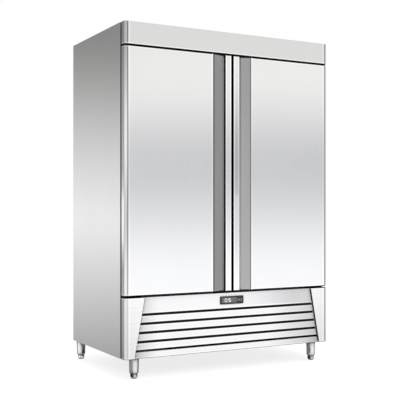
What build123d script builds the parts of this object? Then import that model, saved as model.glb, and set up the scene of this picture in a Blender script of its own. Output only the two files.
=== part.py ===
from build123d import *
import os

# A two-door upright commercial refrigerator with its machine room below.
# Millimetres. +Z is up, the doors face -Y, and the origin is on the floor under the middle.

# Driving dimensions of the whole cabinet
WIDTH = 1382.0
DEPTH = 814.0
HEIGHT = 1981.0
LEG_HEIGHT = 116.0

# Depth planes, from the front of the doors back
FRONT = -DEPTH / 2
BACK = DEPTH / 2
FRONT_BUILD = 54.0
SIDE_GROOVE = 11.0
FACE = FRONT + FRONT_BUILD
PANEL_BACK = FACE - SIDE_GROOVE

# Heights of the seams above the floor
BASE_BOTTOM = LEG_HEIGHT
BASE_TOP = 455.0
DOOR_BOTTOM = 467.0
DOOR_TOP = 1846.0
HEADER_BOTTOM = 1855.0

# Folded front corner that the doors, header and base share
HALF_WIDTH = WIDTH / 2
SIDE_INSET = 3.0
PANEL_SIDE = HALF_WIDTH - SIDE_INSET
FACET_ACROSS = 20.0
FACET_BACK = 10.0
FACET_INNER = PANEL_SIDE - FACET_ACROSS
FACET_REAR = FRONT + FACET_BACK
BEND = 3.0

# Sheet thicknesses
SHEET = 1.0
SKIN = 1.2
PLATE = 4.0

# Insulated box
WALL = 55.0
FLOOR_UNDERSIDE = 450.0
FLOOR_TOP = 505.0
OPENING_TOP = 1806.0
CEILING = 1921.0
INNER_SIDE = HALF_WIDTH - WALL
INNER_BACK = BACK - WALL
FLANGE = 45.0
REAR_FLANGE = 20.0
BREAKER = 10.0
BREAKER_DEPTH = 4.0
LINTEL_BACK = -296.0
MULLION_HALF = 30.0
MULLION_DEPTH = 40.0
MULLION_WALL = 1.5

# Doors
DOOR_GAP = 14.0
FREE_EDGE = DOOR_GAP / 2
PULL_WIDTH = 41.5
CHANNEL_WIDTH = 79.5
CHANNEL_DEPTH = 17.0
CHANNEL_LAP = 7.25
CHANNEL_BEND = 8.0
PULL_UNDERCUT = 5.0
PULL_SHEET = 1.5
PULL_BEND = 2.5
STRIP_EDGE = FREE_EDGE + PULL_WIDTH
CHANNEL_EDGE = STRIP_EDGE + CHANNEL_WIDTH
SKIN_EDGE = CHANNEL_EDGE + CHANNEL_LAP
INNER_SHEET = 1.0
PLATEAU_RISE = 9.0
PLATEAU_SIDE = 645.0
PLATEAU_FREE = 34.0
PLATEAU_MARGIN = 34.0

# Door gasket, held just clear of the cabinet face
GASKET_WIDTH = 16.0
GASKET_OUTER = 666.0
GASKET_FREE = 12.0
GASKET_MARGIN = 12.0
GASKET_CLEARANCE = 0.4
GASKET_GROOVE = 3.0

# Door hinges: pins on the cabinet, bushes in the doors
HINGE_X = FACET_INNER
HINGE_Y = -384.0
PIN_RADIUS = 5.0
PIN_LENGTH = 26.0
BUSH_RADIUS = 12.0
BUSH_NECK_RADIUS = 8.0
BUSH_LENGTH = 28.0
RUNNING_CLEARANCE = 0.05
FREE_CLEARANCE = 0.3
BRACKET_WIDTH = 32.0
BRACKET_LEG = 42.0
BRACKET_NOSE = 10.0

# Base surround and grille panel
SLANT_TOP = 566.4
SLANT_BOTTOM = 630.0
GRILLE_RECESS = 9.0
GRILLE_FRONT = FRONT + GRILLE_RECESS
GRILLE_DEPTH = 12.0
GRILLE_GAP = 2.5
GRILLE_TOP = 454.0
CHEEK_WALL_DEPTH = 22.0
SLIT_HEIGHT = 11.5
SLIT_PITCH = 50.3
SLIT_FIRST = 156.9
SLIT_COUNT = 4
RAIL_TOP = SLIT_FIRST - SLIT_HEIGHT / 2
PANEL_BOTTOM = SLIT_FIRST + SLIT_HEIGHT / 2
GRILLE_LIP = 9.0
GRILLE_PIN_Z = 168.0
GRILLE_PIN_Y = -396.5
GRILLE_PIN_RADIUS = 2.5
RELIEF_WIDTH = 4.0
RELIEF_DEPTH = 5.5
CATCH_X = 200.0
CATCH_WIDTH = 12.0
CATCH_RISE = 6.5

# Controller in the grille panel's upper band
DISPLAY_Z = 411.0
BEZEL_WIDTH = 157.0
BEZEL_HEIGHT = 44.0
BEZEL_THICKNESS = 3.0
BEZEL_CORNER = 3.0
HOUSING_WIDTH = 142.0
HOUSING_HEIGHT = 34.0
HOUSING_DEPTH = 56.0
WINDOW_LEFT = -69.0
WINDOW_RIGHT = 33.0
WINDOW_HEIGHT = 31.0
WINDOW_THICKNESS = 2.0
BUTTON_CENTRES = {"set_button": 41.0, "down_button": 52.5, "up_button": 64.0}
BUTTON_WIDTH = 9.0
BUTTON_HEIGHT = 18.0
BUTTON_PROUD = 1.2
BUTTON_LENGTH = 5.0
BUTTON_POCKET = 6.5

# Machine room
PAN_BOTTOM = 124.0
PAN_SHEET = 2.0
PAN_TOP = PAN_BOTTOM + PAN_SHEET
PAN_TONGUE_HALF = 638.0
PAN_TONGUE_FRONT = -385.0
REAR_SLOT_ROWS = 9
REAR_SLOT_PITCH = 26.0
REAR_SLOT_HEIGHT = 8.0
REAR_SLOT_LENGTH = 150.0
REAR_SLOT_COLUMNS = (-480.0, -280.0, -80.0, 120.0, 320.0)
REAR_SLOT_FIRST = 180.0
INLET_X = 560.0
INLET_Z = 200.0
INLET_WIDTH = 58.0
INLET_HEIGHT = 46.0
INLET_DEPTH = 42.0

# Legs and levelling feet
FRONT_LEG = (606.5, -348.5)
REAR_LEG = (650.0, 374.0)
LEG_TOP_RADIUS = 29.0
LEG_SHOULDER_RADIUS = 25.8
LEG_SHOULDER_Z = 35.0
LEG_END_RADIUS = 22.5
LEG_END_Z = 28.0
LEG_WALL = 3.0
LEG_PLUG = 12.0
LEG_PLATE_HALF = 30.0
LEG_PLATE = 5.0
LEG_BOLT_OFFSET = 24.5
LEG_BOLT_RADIUS = 3.0
LEG_BOLT_HEAD_RADIUS = 5.0
STEM_RADIUS = 8.0
STEM_TOP = 84.0
FOOT_NECK_RADIUS = 17.5
FOOT_RADIUS = 21.0
FOOT_HEIGHT = 22.0
FOOT_NOSE_RADIUS = 19.5
FOOT_NOSE_HEIGHT = 9.0
FOOT_PAD_RADIUS = 14.0
FOOT_TRAVEL_GAP = 0.5

# Shelves: three in each bay on four clips each
SHELF_LEVELS = (830.0, 1155.0, 1480.0)
SHELF_INNER = 20.0
SHELF_OUTER = 622.0
SHELF_FRONT = -296.0
SHELF_REAR = 332.0
SHELF_RIM_RADIUS = 4.0
SHELF_WIRE_RADIUS = 2.0
SHELF_WIRE_COUNT = 21
SHELF_WELD = 0.6
PILASTER_WIDTH = 22.0
PILASTER_DEPTH = 6.0
PILASTER_BOTTOM = 560.0
PILASTER_TOP = 1780.0
PILASTER_SLOT_PITCH = 50.8
CLIP_WIDTH = 14.0
CLIP_REACH = 22.0
CLIP_HEIGHT = 12.0
SIDE_PILASTER_YS = (-240.0, 270.0)

# Cooling system
EVAPORATOR_HALF = 370.0
EVAPORATOR_COIL_FRONT = -50.0
EVAPORATOR_COIL_BACK = 120.0
EVAPORATOR_COIL_BOTTOM = 1836.0
EVAPORATOR_COIL_TOP = 1908.0
COVER_HALF = 420.0
COVER_FRONT = -285.0
COVER_BACK = 165.0
COVER_BOTTOM = 1812.0
COVER_SHEET = 1.5
EVAPORATOR_FAN = (0.0, -170.0)
EVAPORATOR_FAN_RADIUS = 92.0
EVAPORATOR_FAN_Z = 1832.0
CONDENSER_X = -150.0
CONDENSER_HALF = 200.0
CONDENSER_FRONT = -335.0
CONDENSER_BACK = -275.0
CONDENSER_BOTTOM = 140.0
CONDENSER_TOP = 400.0
CONDENSER_FAN_RADIUS = 108.0
CONDENSER_FAN_Y = -236.0
SHROUD_BACK = -215.0
FAN_DEPTH = 26.0
FAN_BLADES = 5
HUB_RADIUS = 22.0
SHAFT_RADIUS = 3.0
SHAFT_LENGTH = 26.0
MOTOR_RADIUS = 40.0
MOTOR_LENGTH = 48.0
COMPRESSOR_X = 330.0
COMPRESSOR_Y = 150.0
COMPRESSOR_RADIUS = 92.0
COMPRESSOR_BASE_Z = 142.0
COMPRESSOR_TOP_Z = 352.0
SUCTION_RADIUS = 6.0
LIQUID_RADIUS = 4.0
DRIER_RADIUS = 14.0
DRAIN_RADIUS = 9.0
DRAIN_X = -520.0
LINE_DEPTH_Y = 380.0
CONDENSATE_PAN = (-640.0, -400.0, 150.0, 395.0)
CONDENSATE_TOP = 180.0


def block(x0, x1, y0, y1, z0, z1):
    """Box between two corners, in any order along each axis."""
    centre = Pos((x0 + x1) / 2, (y0 + y1) / 2, (z0 + z1) / 2)
    return centre * Box(abs(x1 - x0), abs(y1 - y0), abs(z1 - z0))


def rod(start, end, radius):
    """Round rod from one point to another."""
    axis = Vector(*end) - Vector(*start)
    return extrude(Plane(origin=start, z_dir=axis) * Circle(radius), axis.length)


def upright(face, bottom, top):
    """A plan outline raised between two heights."""
    return Pos(0, 0, bottom) * extrude(face, top - bottom)


def plan(points):
    """Plan outline through corner points."""
    return make_face(Polyline(*points, close=True))


def folded_sheet(points, radii, thickness, bottom, top):
    """Sheet folded along a plan line; the line is its outer side, going clockwise from behind."""
    line = FilletPolyline(*points, radius=radii)
    return upright(make_face(offset(line, amount=thickness, side=Side.LEFT)), bottom, top)


def mirrored(shape):
    """The same piece on the other side of the cabinet."""
    return mirror(shape, Plane.YZ)


def bent_tube(points, bend_radius, tube_radius):
    """Round tube along straight runs joined by arcs."""
    path = FilletPolyline(*points, radius=bend_radius)
    return sweep(Plane(origin=path @ 0, z_dir=path % 0) * Circle(tube_radius), path=path)


def group(shapes):
    """Separate solids kept together as one node."""
    return Compound(children=[solid for shape in shapes for solid in shape.solids()])


def slant_at(z):
    """Half the width of the base opening at a height."""
    rise = (z - BASE_BOTTOM) / (BASE_TOP - BASE_BOTTOM)
    return SLANT_BOTTOM + (SLANT_TOP - SLANT_BOTTOM) * rise


# Outer cabinet


def side_panel_left():
    """Outer side sheet with a wide front return and a narrow rear return."""
    line = [
        (-HALF_WIDTH + REAR_FLANGE, BACK),
        (-HALF_WIDTH, BACK),
        (-HALF_WIDTH, FACE),
        (-HALF_WIDTH + FLANGE, FACE),
    ]
    radii = [SHEET * 2, SHEET * 2]
    profile = make_face(offset(FilletPolyline(*line, radius=radii), amount=SHEET, side=Side.LEFT))
    return upright(profile, BASE_BOTTOM, HEIGHT)


def notched_sheet(y0, y1, z0, z1):
    """Flat sheet between the side panels, its corners cut to clear their bends."""
    inner = HALF_WIDTH - SHEET
    sheet = block(-inner, inner, y0, y1, z0, z1)
    return chamfer(sheet.edges().filter_by(Axis.Z), SHEET * 2)


def top_panel():
    """Flat roof sheet between the side panels."""
    return notched_sheet(FACE + SHEET, BACK - SHEET, HEIGHT - SHEET, HEIGHT)


def back_panel():
    """Rear sheet of the insulated box, on the inside of the side panels' rear returns."""
    half = HALF_WIDTH - 2 * SHEET
    return block(-half, half, BACK - 2 * SHEET, BACK - SHEET, FLOOR_UNDERSIDE, HEIGHT - SHEET)


def underfloor_panel():
    """Sheet that closes the insulated box above the machine room."""
    bottom = FLOOR_UNDERSIDE - SHEET
    sheet = notched_sheet(FACE + SHEET, BACK - 2 * SHEET, bottom, FLOOR_UNDERSIDE)
    return sheet - refrigerant_lines() - evaporator_drain()


def insulation_foam():
    """Foam that fills the space between the outer sheets and the liner."""
    inner = HALF_WIDTH - SHEET
    front = FACE + BREAKER_DEPTH
    outer = block(-inner, inner, front, BACK - 2 * SHEET, FLOOR_UNDERSIDE, HEIGHT - SHEET)
    liner_side = INNER_SIDE + SHEET
    cavity = block(
        -liner_side, liner_side, front, INNER_BACK + SHEET, FLOOR_TOP - SHEET, CEILING + SHEET
    )
    lintel = block(
        -liner_side, liner_side, front, LINTEL_BACK, OPENING_TOP + SHEET, CEILING + SHEET
    )
    return outer - cavity + lintel - refrigerant_lines() - evaporator_drain()


def inner_liner():
    """Stainless sheets that line the storage space, with the lintel's soffit and back."""
    front = FACE + BREAKER_DEPTH
    side = INNER_SIDE
    lintel_inner = LINTEL_BACK + SHEET
    sheets = [
        block(-side - SHEET, -side, front, INNER_BACK, FLOOR_TOP, OPENING_TOP),
        block(side, side + SHEET, front, INNER_BACK, FLOOR_TOP, OPENING_TOP),
        block(-side - SHEET, -side, lintel_inner, INNER_BACK, OPENING_TOP, CEILING),
        block(side, side + SHEET, lintel_inner, INNER_BACK, OPENING_TOP, CEILING),
        block(-side - SHEET, side + SHEET, INNER_BACK, INNER_BACK + SHEET, FLOOR_TOP, CEILING),
        block(-side - SHEET, side + SHEET, front, INNER_BACK, FLOOR_TOP - SHEET, FLOOR_TOP),
        block(-side - SHEET, side + SHEET, lintel_inner, INNER_BACK, CEILING, CEILING + SHEET),
        block(-side, side, front, LINTEL_BACK, OPENING_TOP, OPENING_TOP + SHEET),
        block(-side, side, LINTEL_BACK, lintel_inner, OPENING_TOP, CEILING),
    ]
    holes = [refrigerant_lines(), evaporator_drain()]
    return group([sheet - holes for sheet in sheets])


def breaker_strips():
    """Plastic strips between the front frame and the liner, round both openings."""
    outer = INNER_SIDE + BREAKER
    back = FACE + BREAKER_DEPTH
    bottom = FLOOR_TOP - BREAKER
    top = OPENING_TOP + BREAKER
    strips = []
    for side in (-1, 1):
        strips.append(block(side * INNER_SIDE, side * outer, FACE, back, bottom, top))
        strips.append(block(side * MULLION_HALF, side * INNER_SIDE, FACE, back, bottom, FLOOR_TOP))
        strips.append(block(side * MULLION_HALF, side * INNER_SIDE, FACE, back, OPENING_TOP, top))
    return group(strips)


def front_frame():
    """Steel face of the box: lintel, sill and the hollow centre mullion."""
    inner = HALF_WIDTH - FLANGE
    bottom = FLOOR_TOP - BREAKER
    top = OPENING_TOP + BREAKER
    lintel = block(-inner, inner, FACE, FACE + SHEET, top, HEIGHT - SHEET)
    sill = block(-inner, inner, FACE, FACE + SHEET, FLOOR_UNDERSIDE - SHEET, bottom)
    mullion_back = FACE + MULLION_DEPTH
    mullion = block(-MULLION_HALF, MULLION_HALF, FACE, mullion_back, FLOOR_TOP, OPENING_TOP)
    mullion -= block(
        -MULLION_HALF + MULLION_WALL,
        MULLION_HALF - MULLION_WALL,
        FACE + MULLION_WALL,
        mullion_back - MULLION_WALL,
        FLOOR_TOP,
        OPENING_TOP,
    )
    tabs = [
        block(-MULLION_HALF, MULLION_HALF, FACE, FACE + SHEET, bottom, FLOOR_TOP),
        block(-MULLION_HALF, MULLION_HALF, FACE, FACE + SHEET, OPENING_TOP, top),
    ]
    return group([lintel, sill, mullion + tabs])


def header_panel():
    """Shallow box over the doors with folded corners, open towards the cabinet."""
    step = HALF_WIDTH - FLANGE
    half = [
        (step, FACE),
        (step, PANEL_BACK),
        (PANEL_SIDE, PANEL_BACK),
        (PANEL_SIDE, FACET_REAR),
        (FACET_INNER, FRONT),
    ]
    points = half + [(-x, y) for x, y in reversed(half)]
    radii = [0, 0, 0, BEND, BEND, BEND, BEND, 0, 0, 0]
    outline = make_face(FilletPolyline(*points, radius=radii, close=True))
    shell = upright(outline, HEADER_BOTTOM, HEIGHT)
    shell -= upright(offset(outline, -SKIN), HEADER_BOTTOM + SKIN, HEIGHT - SKIN)
    open_side = step - SKIN
    return shell - block(
        -open_side, open_side, FACE - 2 * SKIN, FACE + SKIN, HEADER_BOTTOM + SKIN, HEIGHT - SKIN
    )


# Base


def cheek_body(inset):
    """Filled shape of the left cheek, drawn in by an inset."""
    middle_side = -SLANT_TOP + FLANGE
    points = [
        (middle_side, FRONT),
        (-FACET_INNER, FRONT),
        (-PANEL_SIDE, FACET_REAR),
        (-PANEL_SIDE, PANEL_BACK),
        (-HALF_WIDTH + FLANGE, PANEL_BACK),
        (-HALF_WIDTH + FLANGE, FACE),
        (middle_side, FACE),
    ]
    radii = [0, BEND, BEND, 0, 0, 0, 0]
    outline = make_face(FilletPolyline(*points, radius=radii, close=True))
    if inset:
        outline = offset(outline, -inset)
    body = upright(outline, BASE_BOTTOM, BASE_TOP - inset)
    reach = 1.0
    slope = Polyline(
        (-slant_at(BASE_BOTTOM - reach) - inset, BASE_BOTTOM - reach),
        (-slant_at(BASE_TOP + reach) - inset, BASE_TOP + reach),
        (0, BASE_TOP + reach),
        (0, BASE_BOTTOM - reach),
        close=True,
    )
    front_view = Plane.XZ * make_face(slope)
    middle = extrude(front_view, amount=DEPTH, both=True)
    return body - middle


def left_cheek():
    """Folded cover beside the grille: slanted inner wall, face, folded corner and side."""
    shell = cheek_body(0.0) - cheek_body(SKIN)
    step = HALF_WIDTH - FLANGE
    shell -= block(-step + SKIN, 0, FRONT + CHEEK_WALL_DEPTH, FACE + SKIN, 0, BASE_TOP - SKIN)
    pin_hole = rod(
        (-step, GRILLE_PIN_Y, GRILLE_PIN_Z),
        (0, GRILLE_PIN_Y, GRILLE_PIN_Z),
        GRILLE_PIN_RADIUS + RUNNING_CLEARANCE,
    )
    return shell - pin_hole


def bottom_rail():
    """Channel-shaped rail between the cheeks under the grille panel."""
    corners = [
        (-slant_at(BASE_BOTTOM), BASE_BOTTOM),
        (slant_at(BASE_BOTTOM), BASE_BOTTOM),
        (slant_at(RAIL_TOP), RAIL_TOP),
        (-slant_at(RAIL_TOP), RAIL_TOP),
    ]
    front_view = Plane.XZ * make_face(Polyline(*corners, close=True))
    body = Pos(0, GRILLE_FRONT + GRILLE_DEPTH, 0) * extrude(front_view, amount=GRILLE_DEPTH)
    hollow = block(
        -HALF_WIDTH,
        HALF_WIDTH,
        GRILLE_FRONT + SKIN,
        GRILLE_FRONT + GRILLE_DEPTH,
        BASE_BOTTOM + SKIN,
        RAIL_TOP - SKIN,
    )
    return body - hollow


def base_surround():
    """Both cheeks and the bottom rail."""
    cheek = left_cheek()
    return group([cheek, mirrored(cheek), bottom_rail()])


def base_pan():
    """Floor of the machine room: a flat pan with a front tongue, and an upstand along its rear."""
    inner = HALF_WIDTH - 2 * SHEET
    pan = notched_sheet(FACE + SHEET, BACK - 2 * SHEET, PAN_BOTTOM, PAN_TOP)
    pan += block(
        -PAN_TONGUE_HALF, PAN_TONGUE_HALF, PAN_TONGUE_FRONT, FACE + SHEET, PAN_BOTTOM, PAN_TOP
    )
    rise = 24.0
    upstand = block(
        -inner, inner, BACK - 2 * SHEET - PAN_SHEET, BACK - 2 * SHEET, PAN_TOP, PAN_TOP + rise
    )
    return group([pan - leg_bolt_holes(), upstand])


def rear_grille():
    """Slotted rear cover of the machine room, with a cut-out for the power inlet."""
    half = HALF_WIDTH - 2 * SHEET
    cover = block(
        -half, half, BACK - 2 * SHEET, BACK - SHEET, PAN_BOTTOM, FLOOR_UNDERSIDE - SHEET
    )
    slots = []
    for column in REAR_SLOT_COLUMNS:
        for row in range(REAR_SLOT_ROWS):
            bottom = REAR_SLOT_FIRST + row * REAR_SLOT_PITCH
            slots.append(
                block(
                    column,
                    column + REAR_SLOT_LENGTH,
                    BACK - 3 * SHEET,
                    BACK,
                    bottom,
                    bottom + REAR_SLOT_HEIGHT,
                )
            )
    return cover - slots - inlet_body()


def inlet_body():
    """Moulded body of the power inlet, through the rear grille."""
    return block(
        INLET_X - INLET_WIDTH / 2,
        INLET_X + INLET_WIDTH / 2,
        BACK - INLET_DEPTH,
        BACK - SHEET,
        INLET_Z - INLET_HEIGHT / 2,
        INLET_Z + INLET_HEIGHT / 2,
    )


def power_inlet():
    """Recessed mains inlet with three flat contacts."""
    socket_depth = 20.0
    margin = 8.0
    contact_length = 15.0
    contact_half_width = 1.0
    contact_half_height = 3.0
    contact_pitch = 10.0
    contact_low = -4.0
    contact_high = 5.0
    socket = block(
        INLET_X - INLET_WIDTH / 2 + margin,
        INLET_X + INLET_WIDTH / 2 - margin,
        BACK - SHEET - socket_depth,
        BACK,
        INLET_Z - INLET_HEIGHT / 2 + margin,
        INLET_Z + INLET_HEIGHT / 2 - margin,
    )
    inlet = inlet_body() - socket
    places = [(-contact_pitch, contact_low), (0, contact_high), (contact_pitch, contact_low)]
    for shift, height in places:
        inlet += block(
            INLET_X + shift - contact_half_width,
            INLET_X + shift + contact_half_width,
            BACK - SHEET - socket_depth,
            BACK - SHEET - socket_depth + contact_length,
            INLET_Z + height - contact_half_height,
            INLET_Z + height + contact_half_height,
        )
    return inlet


def leg_places():
    """Centres of the four legs: front left, front right, rear left, rear right."""
    return {
        "front_left": (-FRONT_LEG[0], FRONT_LEG[1]),
        "front_right": FRONT_LEG,
        "rear_left": (-REAR_LEG[0], REAR_LEG[1]),
        "rear_right": REAR_LEG,
    }


def leg_bolt_places():
    """Centres of the four bolts at each leg plate."""
    offsets = [(dx, dy) for dx in (-1, 1) for dy in (-1, 1)]
    return [
        (x + dx * LEG_BOLT_OFFSET, y + dy * LEG_BOLT_OFFSET)
        for x, y in leg_places().values()
        for dx, dy in offsets
    ]


def leg_bolt_holes():
    """Clearance holes of the leg bolts, through the pan and the leg plates."""
    low = PAN_BOTTOM - LEG_PLATE
    return [rod((x, y, low), (x, y, PAN_TOP), LEG_BOLT_RADIUS) for x, y in leg_bolt_places()]


def leg_tube():
    """Tapered tube with a square top plate and a bored end plug, standing on the origin."""
    plate_bottom = PAN_BOTTOM - LEG_PLATE
    outside = [
        (0, LEG_END_Z),
        (LEG_END_RADIUS, LEG_END_Z),
        (LEG_SHOULDER_RADIUS, LEG_SHOULDER_Z),
        (LEG_TOP_RADIUS, plate_bottom),
        (0, plate_bottom),
    ]
    bore = [
        (0, LEG_END_Z + LEG_PLUG),
        (LEG_END_RADIUS - LEG_WALL, LEG_END_Z + LEG_PLUG),
        (LEG_TOP_RADIUS - LEG_WALL, plate_bottom),
        (0, plate_bottom),
    ]
    tube = revolve(Plane.XZ * make_face(Polyline(*outside, close=True)), Axis.Z)
    tube -= revolve(Plane.XZ * make_face(Polyline(*bore, close=True)), Axis.Z)
    half = LEG_PLATE_HALF
    tube += block(-half, half, -half, half, plate_bottom, PAN_BOTTOM)
    return tube - rod((0, 0, 0), (0, 0, HEIGHT), STEM_RADIUS + RUNNING_CLEARANCE)


def leg_tubes():
    """The four leg tubes under the base pan."""
    tube = leg_tube()
    holes = leg_bolt_holes()
    return group([Pos(x, y, 0) * tube - holes for x, y in leg_places().values()])


def levelling_foot():
    """Round-nosed foot with a neck and a stem that runs in the leg's end plug."""
    neck_top = LEG_END_Z - FOOT_TRAVEL_GAP
    nose = TangentArc(
        (FOOT_NOSE_RADIUS, FOOT_NOSE_HEIGHT),
        (FOOT_PAD_RADIUS, 0),
        tangent=(FOOT_NOSE_RADIUS - FOOT_RADIUS, FOOT_NOSE_HEIGHT - FOOT_HEIGHT),
    )
    outline = [
        Line((0, 0), (FOOT_PAD_RADIUS, 0)),
        nose,
        Polyline(
            (FOOT_NOSE_RADIUS, FOOT_NOSE_HEIGHT),
            (FOOT_RADIUS, FOOT_HEIGHT),
            (FOOT_NECK_RADIUS, FOOT_HEIGHT),
            (FOOT_NECK_RADIUS, neck_top),
            (STEM_RADIUS, neck_top),
            (STEM_RADIUS, STEM_TOP),
            (0, STEM_TOP),
            (0, 0),
        ),
    ]
    return revolve(Plane.XZ * make_face(outline), Axis.Z)


# Doors


def door_outline(inset):
    """Plan of the left door as a closed shape, drawn in by an inset."""
    points = [
        (-PANEL_SIDE, PANEL_BACK - INNER_SHEET),
        (-PANEL_SIDE, FACET_REAR),
        (-FACET_INNER, FRONT),
        (-FREE_EDGE, FRONT),
        (-FREE_EDGE, PANEL_BACK - INNER_SHEET),
    ]
    outline = make_face(FilletPolyline(*points, radius=[0, BEND, BEND, 0, 0], close=True))
    return offset(outline, -inset) if inset else outline


def left_bush_holes(radius):
    """Cylinders on the left hinge line, for bush pockets and cap holes."""
    low = (-HINGE_X, HINGE_Y, DOOR_BOTTOM)
    high = (-HINGE_X, HINGE_Y, DOOR_TOP)
    inner = SKIN + BUSH_LENGTH
    return [
        rod(low, (-HINGE_X, HINGE_Y, DOOR_BOTTOM + inner), radius),
        rod(high, (-HINGE_X, HINGE_Y, DOOR_TOP - inner), radius),
    ]


def left_door_skin():
    """Outer skin of the left door: face with folded corner and side, and two end caps."""
    line = [
        (-PANEL_SIDE, PANEL_BACK - INNER_SHEET),
        (-PANEL_SIDE, FACET_REAR),
        (-FACET_INNER, FRONT),
        (-SKIN_EDGE, FRONT),
    ]
    face = folded_sheet(line, [BEND, BEND], SKIN, DOOR_BOTTOM + SKIN, DOOR_TOP - SKIN)
    cap = door_outline(0.0)
    caps = [
        upright(cap, DOOR_BOTTOM, DOOR_BOTTOM + SKIN),
        upright(cap, DOOR_TOP - SKIN, DOOR_TOP),
    ]
    holes = left_bush_holes(BUSH_NECK_RADIUS)
    return group([face] + [piece - holes for piece in caps])


def channel_line():
    """Front line of the grip channel: from the door face in to its deepest edge."""
    return [
        (-SKIN_EDGE, FRONT),
        (-CHANNEL_EDGE, FRONT),
        (-STRIP_EDGE + PULL_UNDERCUT, FRONT + CHANNEL_DEPTH),
    ]


def left_pull_profile():
    """Grip channel and the pull strip beside it, at the left door's free edge."""
    bottom = DOOR_BOTTOM + SKIN
    top = DOOR_TOP - SKIN
    channel = folded_sheet(channel_line(), [CHANNEL_BEND], SKIN, bottom, top)
    strip_line = [
        (-STRIP_EDGE + PULL_UNDERCUT, FRONT + CHANNEL_DEPTH + SKIN),
        (-STRIP_EDGE, FRONT),
        (-FREE_EDGE, FRONT),
        (-FREE_EDGE, PANEL_BACK - INNER_SHEET),
    ]
    strip = folded_sheet(strip_line, [PULL_BEND, PULL_BEND], PULL_SHEET, bottom, top)
    return group([channel - strip, strip])


def left_door_core():
    """Foam of the left door, behind the skin, channel and pull strip and in the plateau."""
    bottom = DOOR_BOTTOM + SKIN
    top = DOOR_TOP - SKIN
    line = [
        (-PANEL_SIDE + SKIN, PANEL_BACK - INNER_SHEET),
        (-PANEL_SIDE + SKIN, FACET_REAR + SKIN / 2),
        (-FACET_INNER + SKIN / 2, FRONT + SKIN),
        (-CHANNEL_EDGE, FRONT + SKIN),
        (-STRIP_EDGE + PULL_UNDERCUT + PULL_SHEET, FRONT + CHANNEL_DEPTH + SKIN),
        (-STRIP_EDGE + PULL_SHEET, FRONT + PULL_SHEET),
        (-FREE_EDGE - PULL_SHEET, FRONT + PULL_SHEET),
        (-FREE_EDGE - PULL_SHEET, PANEL_BACK - INNER_SHEET),
    ]
    core = upright(plan(line), bottom, top)
    core += plateau_body(INNER_SHEET)
    core -= [left_door_skin(), left_pull_profile()]
    return core - left_bush_holes(BUSH_RADIUS)


def plateau_body(inset):
    """Raised middle of the left door's inner panel, drawn in by an inset."""
    return block(
        -PLATEAU_SIDE + inset,
        -PLATEAU_FREE - inset,
        PANEL_BACK - INNER_SHEET,
        PANEL_BACK + PLATEAU_RISE - inset,
        DOOR_BOTTOM + PLATEAU_MARGIN + inset,
        DOOR_TOP - PLATEAU_MARGIN - inset,
    )


def left_door_inner_panel():
    """Sheet that closes the left door's back, with its middle pressed out as a plateau."""
    sheet = block(
        -PANEL_SIDE, -FREE_EDGE, PANEL_BACK - INNER_SHEET, PANEL_BACK, DOOR_BOTTOM, DOOR_TOP
    )
    return sheet + plateau_body(0.0) - plateau_body(INNER_SHEET)


def left_door_gasket():
    """Magnetic gasket frame on the left door, grooved all round its outer side."""
    back = FACE - GASKET_CLEARANCE
    bottom = DOOR_BOTTOM + GASKET_MARGIN
    top = DOOR_TOP - GASKET_MARGIN
    frame = block(-GASKET_OUTER, -GASKET_FREE, PANEL_BACK, back, bottom, top)
    groove_front = PANEL_BACK + GASKET_GROOVE
    groove_back = back - GASKET_GROOVE
    groove = block(-GASKET_OUTER, -GASKET_FREE, groove_front, groove_back, bottom, top)
    groove -= block(
        -GASKET_OUTER + GASKET_GROOVE,
        -GASKET_FREE - GASKET_GROOVE,
        groove_front,
        groove_back,
        bottom + GASKET_GROOVE,
        top - GASKET_GROOVE,
    )
    window = block(
        -GASKET_OUTER + GASKET_WIDTH,
        -GASKET_FREE - GASKET_WIDTH,
        PANEL_BACK,
        back,
        bottom + GASKET_WIDTH,
        top - GASKET_WIDTH,
    )
    return frame - groove - window


def left_door_bushes():
    """Bored bushes in the top and bottom of the left door, with necks through the caps."""
    neck = SKIN + SKIN
    bushes = []
    for end, inward in ((DOOR_BOTTOM, 1), (DOOR_TOP, -1)):
        cap_inside = end + inward * SKIN
        neck_end = cap_inside - inward * neck
        far_end = cap_inside + inward * BUSH_LENGTH
        body = rod((-HINGE_X, HINGE_Y, cap_inside), (-HINGE_X, HINGE_Y, far_end), BUSH_RADIUS)
        body += rod(
            (-HINGE_X, HINGE_Y, neck_end), (-HINGE_X, HINGE_Y, cap_inside), BUSH_NECK_RADIUS
        )
        bore = rod(
            (-HINGE_X, HINGE_Y, neck_end),
            (-HINGE_X, HINGE_Y, far_end),
            PIN_RADIUS + RUNNING_CLEARANCE,
        )
        bushes.append(body - bore)
    return group(bushes)


def hinge_bracket(plate_bottom, leg_up, pin_up):
    """Left angle bracket: a plate in the seam with its pin, and a leg on the cabinet face."""
    plate = block(
        -HINGE_X - BRACKET_WIDTH / 2,
        -HINGE_X + BRACKET_WIDTH / 2,
        HINGE_Y - BRACKET_NOSE,
        FACE,
        plate_bottom,
        plate_bottom + PLATE,
    )
    leg_start = plate_bottom + PLATE if leg_up else plate_bottom
    leg_end = leg_start + BRACKET_LEG if leg_up else leg_start - BRACKET_LEG
    leg = block(
        -HINGE_X - BRACKET_WIDTH / 2,
        -HINGE_X + BRACKET_WIDTH / 2,
        FACE - PLATE,
        FACE,
        leg_start,
        leg_end,
    )
    pin_start = plate_bottom + PLATE if pin_up else plate_bottom
    pin_end = pin_start + PIN_LENGTH if pin_up else pin_start - PIN_LENGTH
    pin = rod((-HINGE_X, HINGE_Y, pin_start), (-HINGE_X, HINGE_Y, pin_end), PIN_RADIUS)
    return plate + leg + pin


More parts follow.
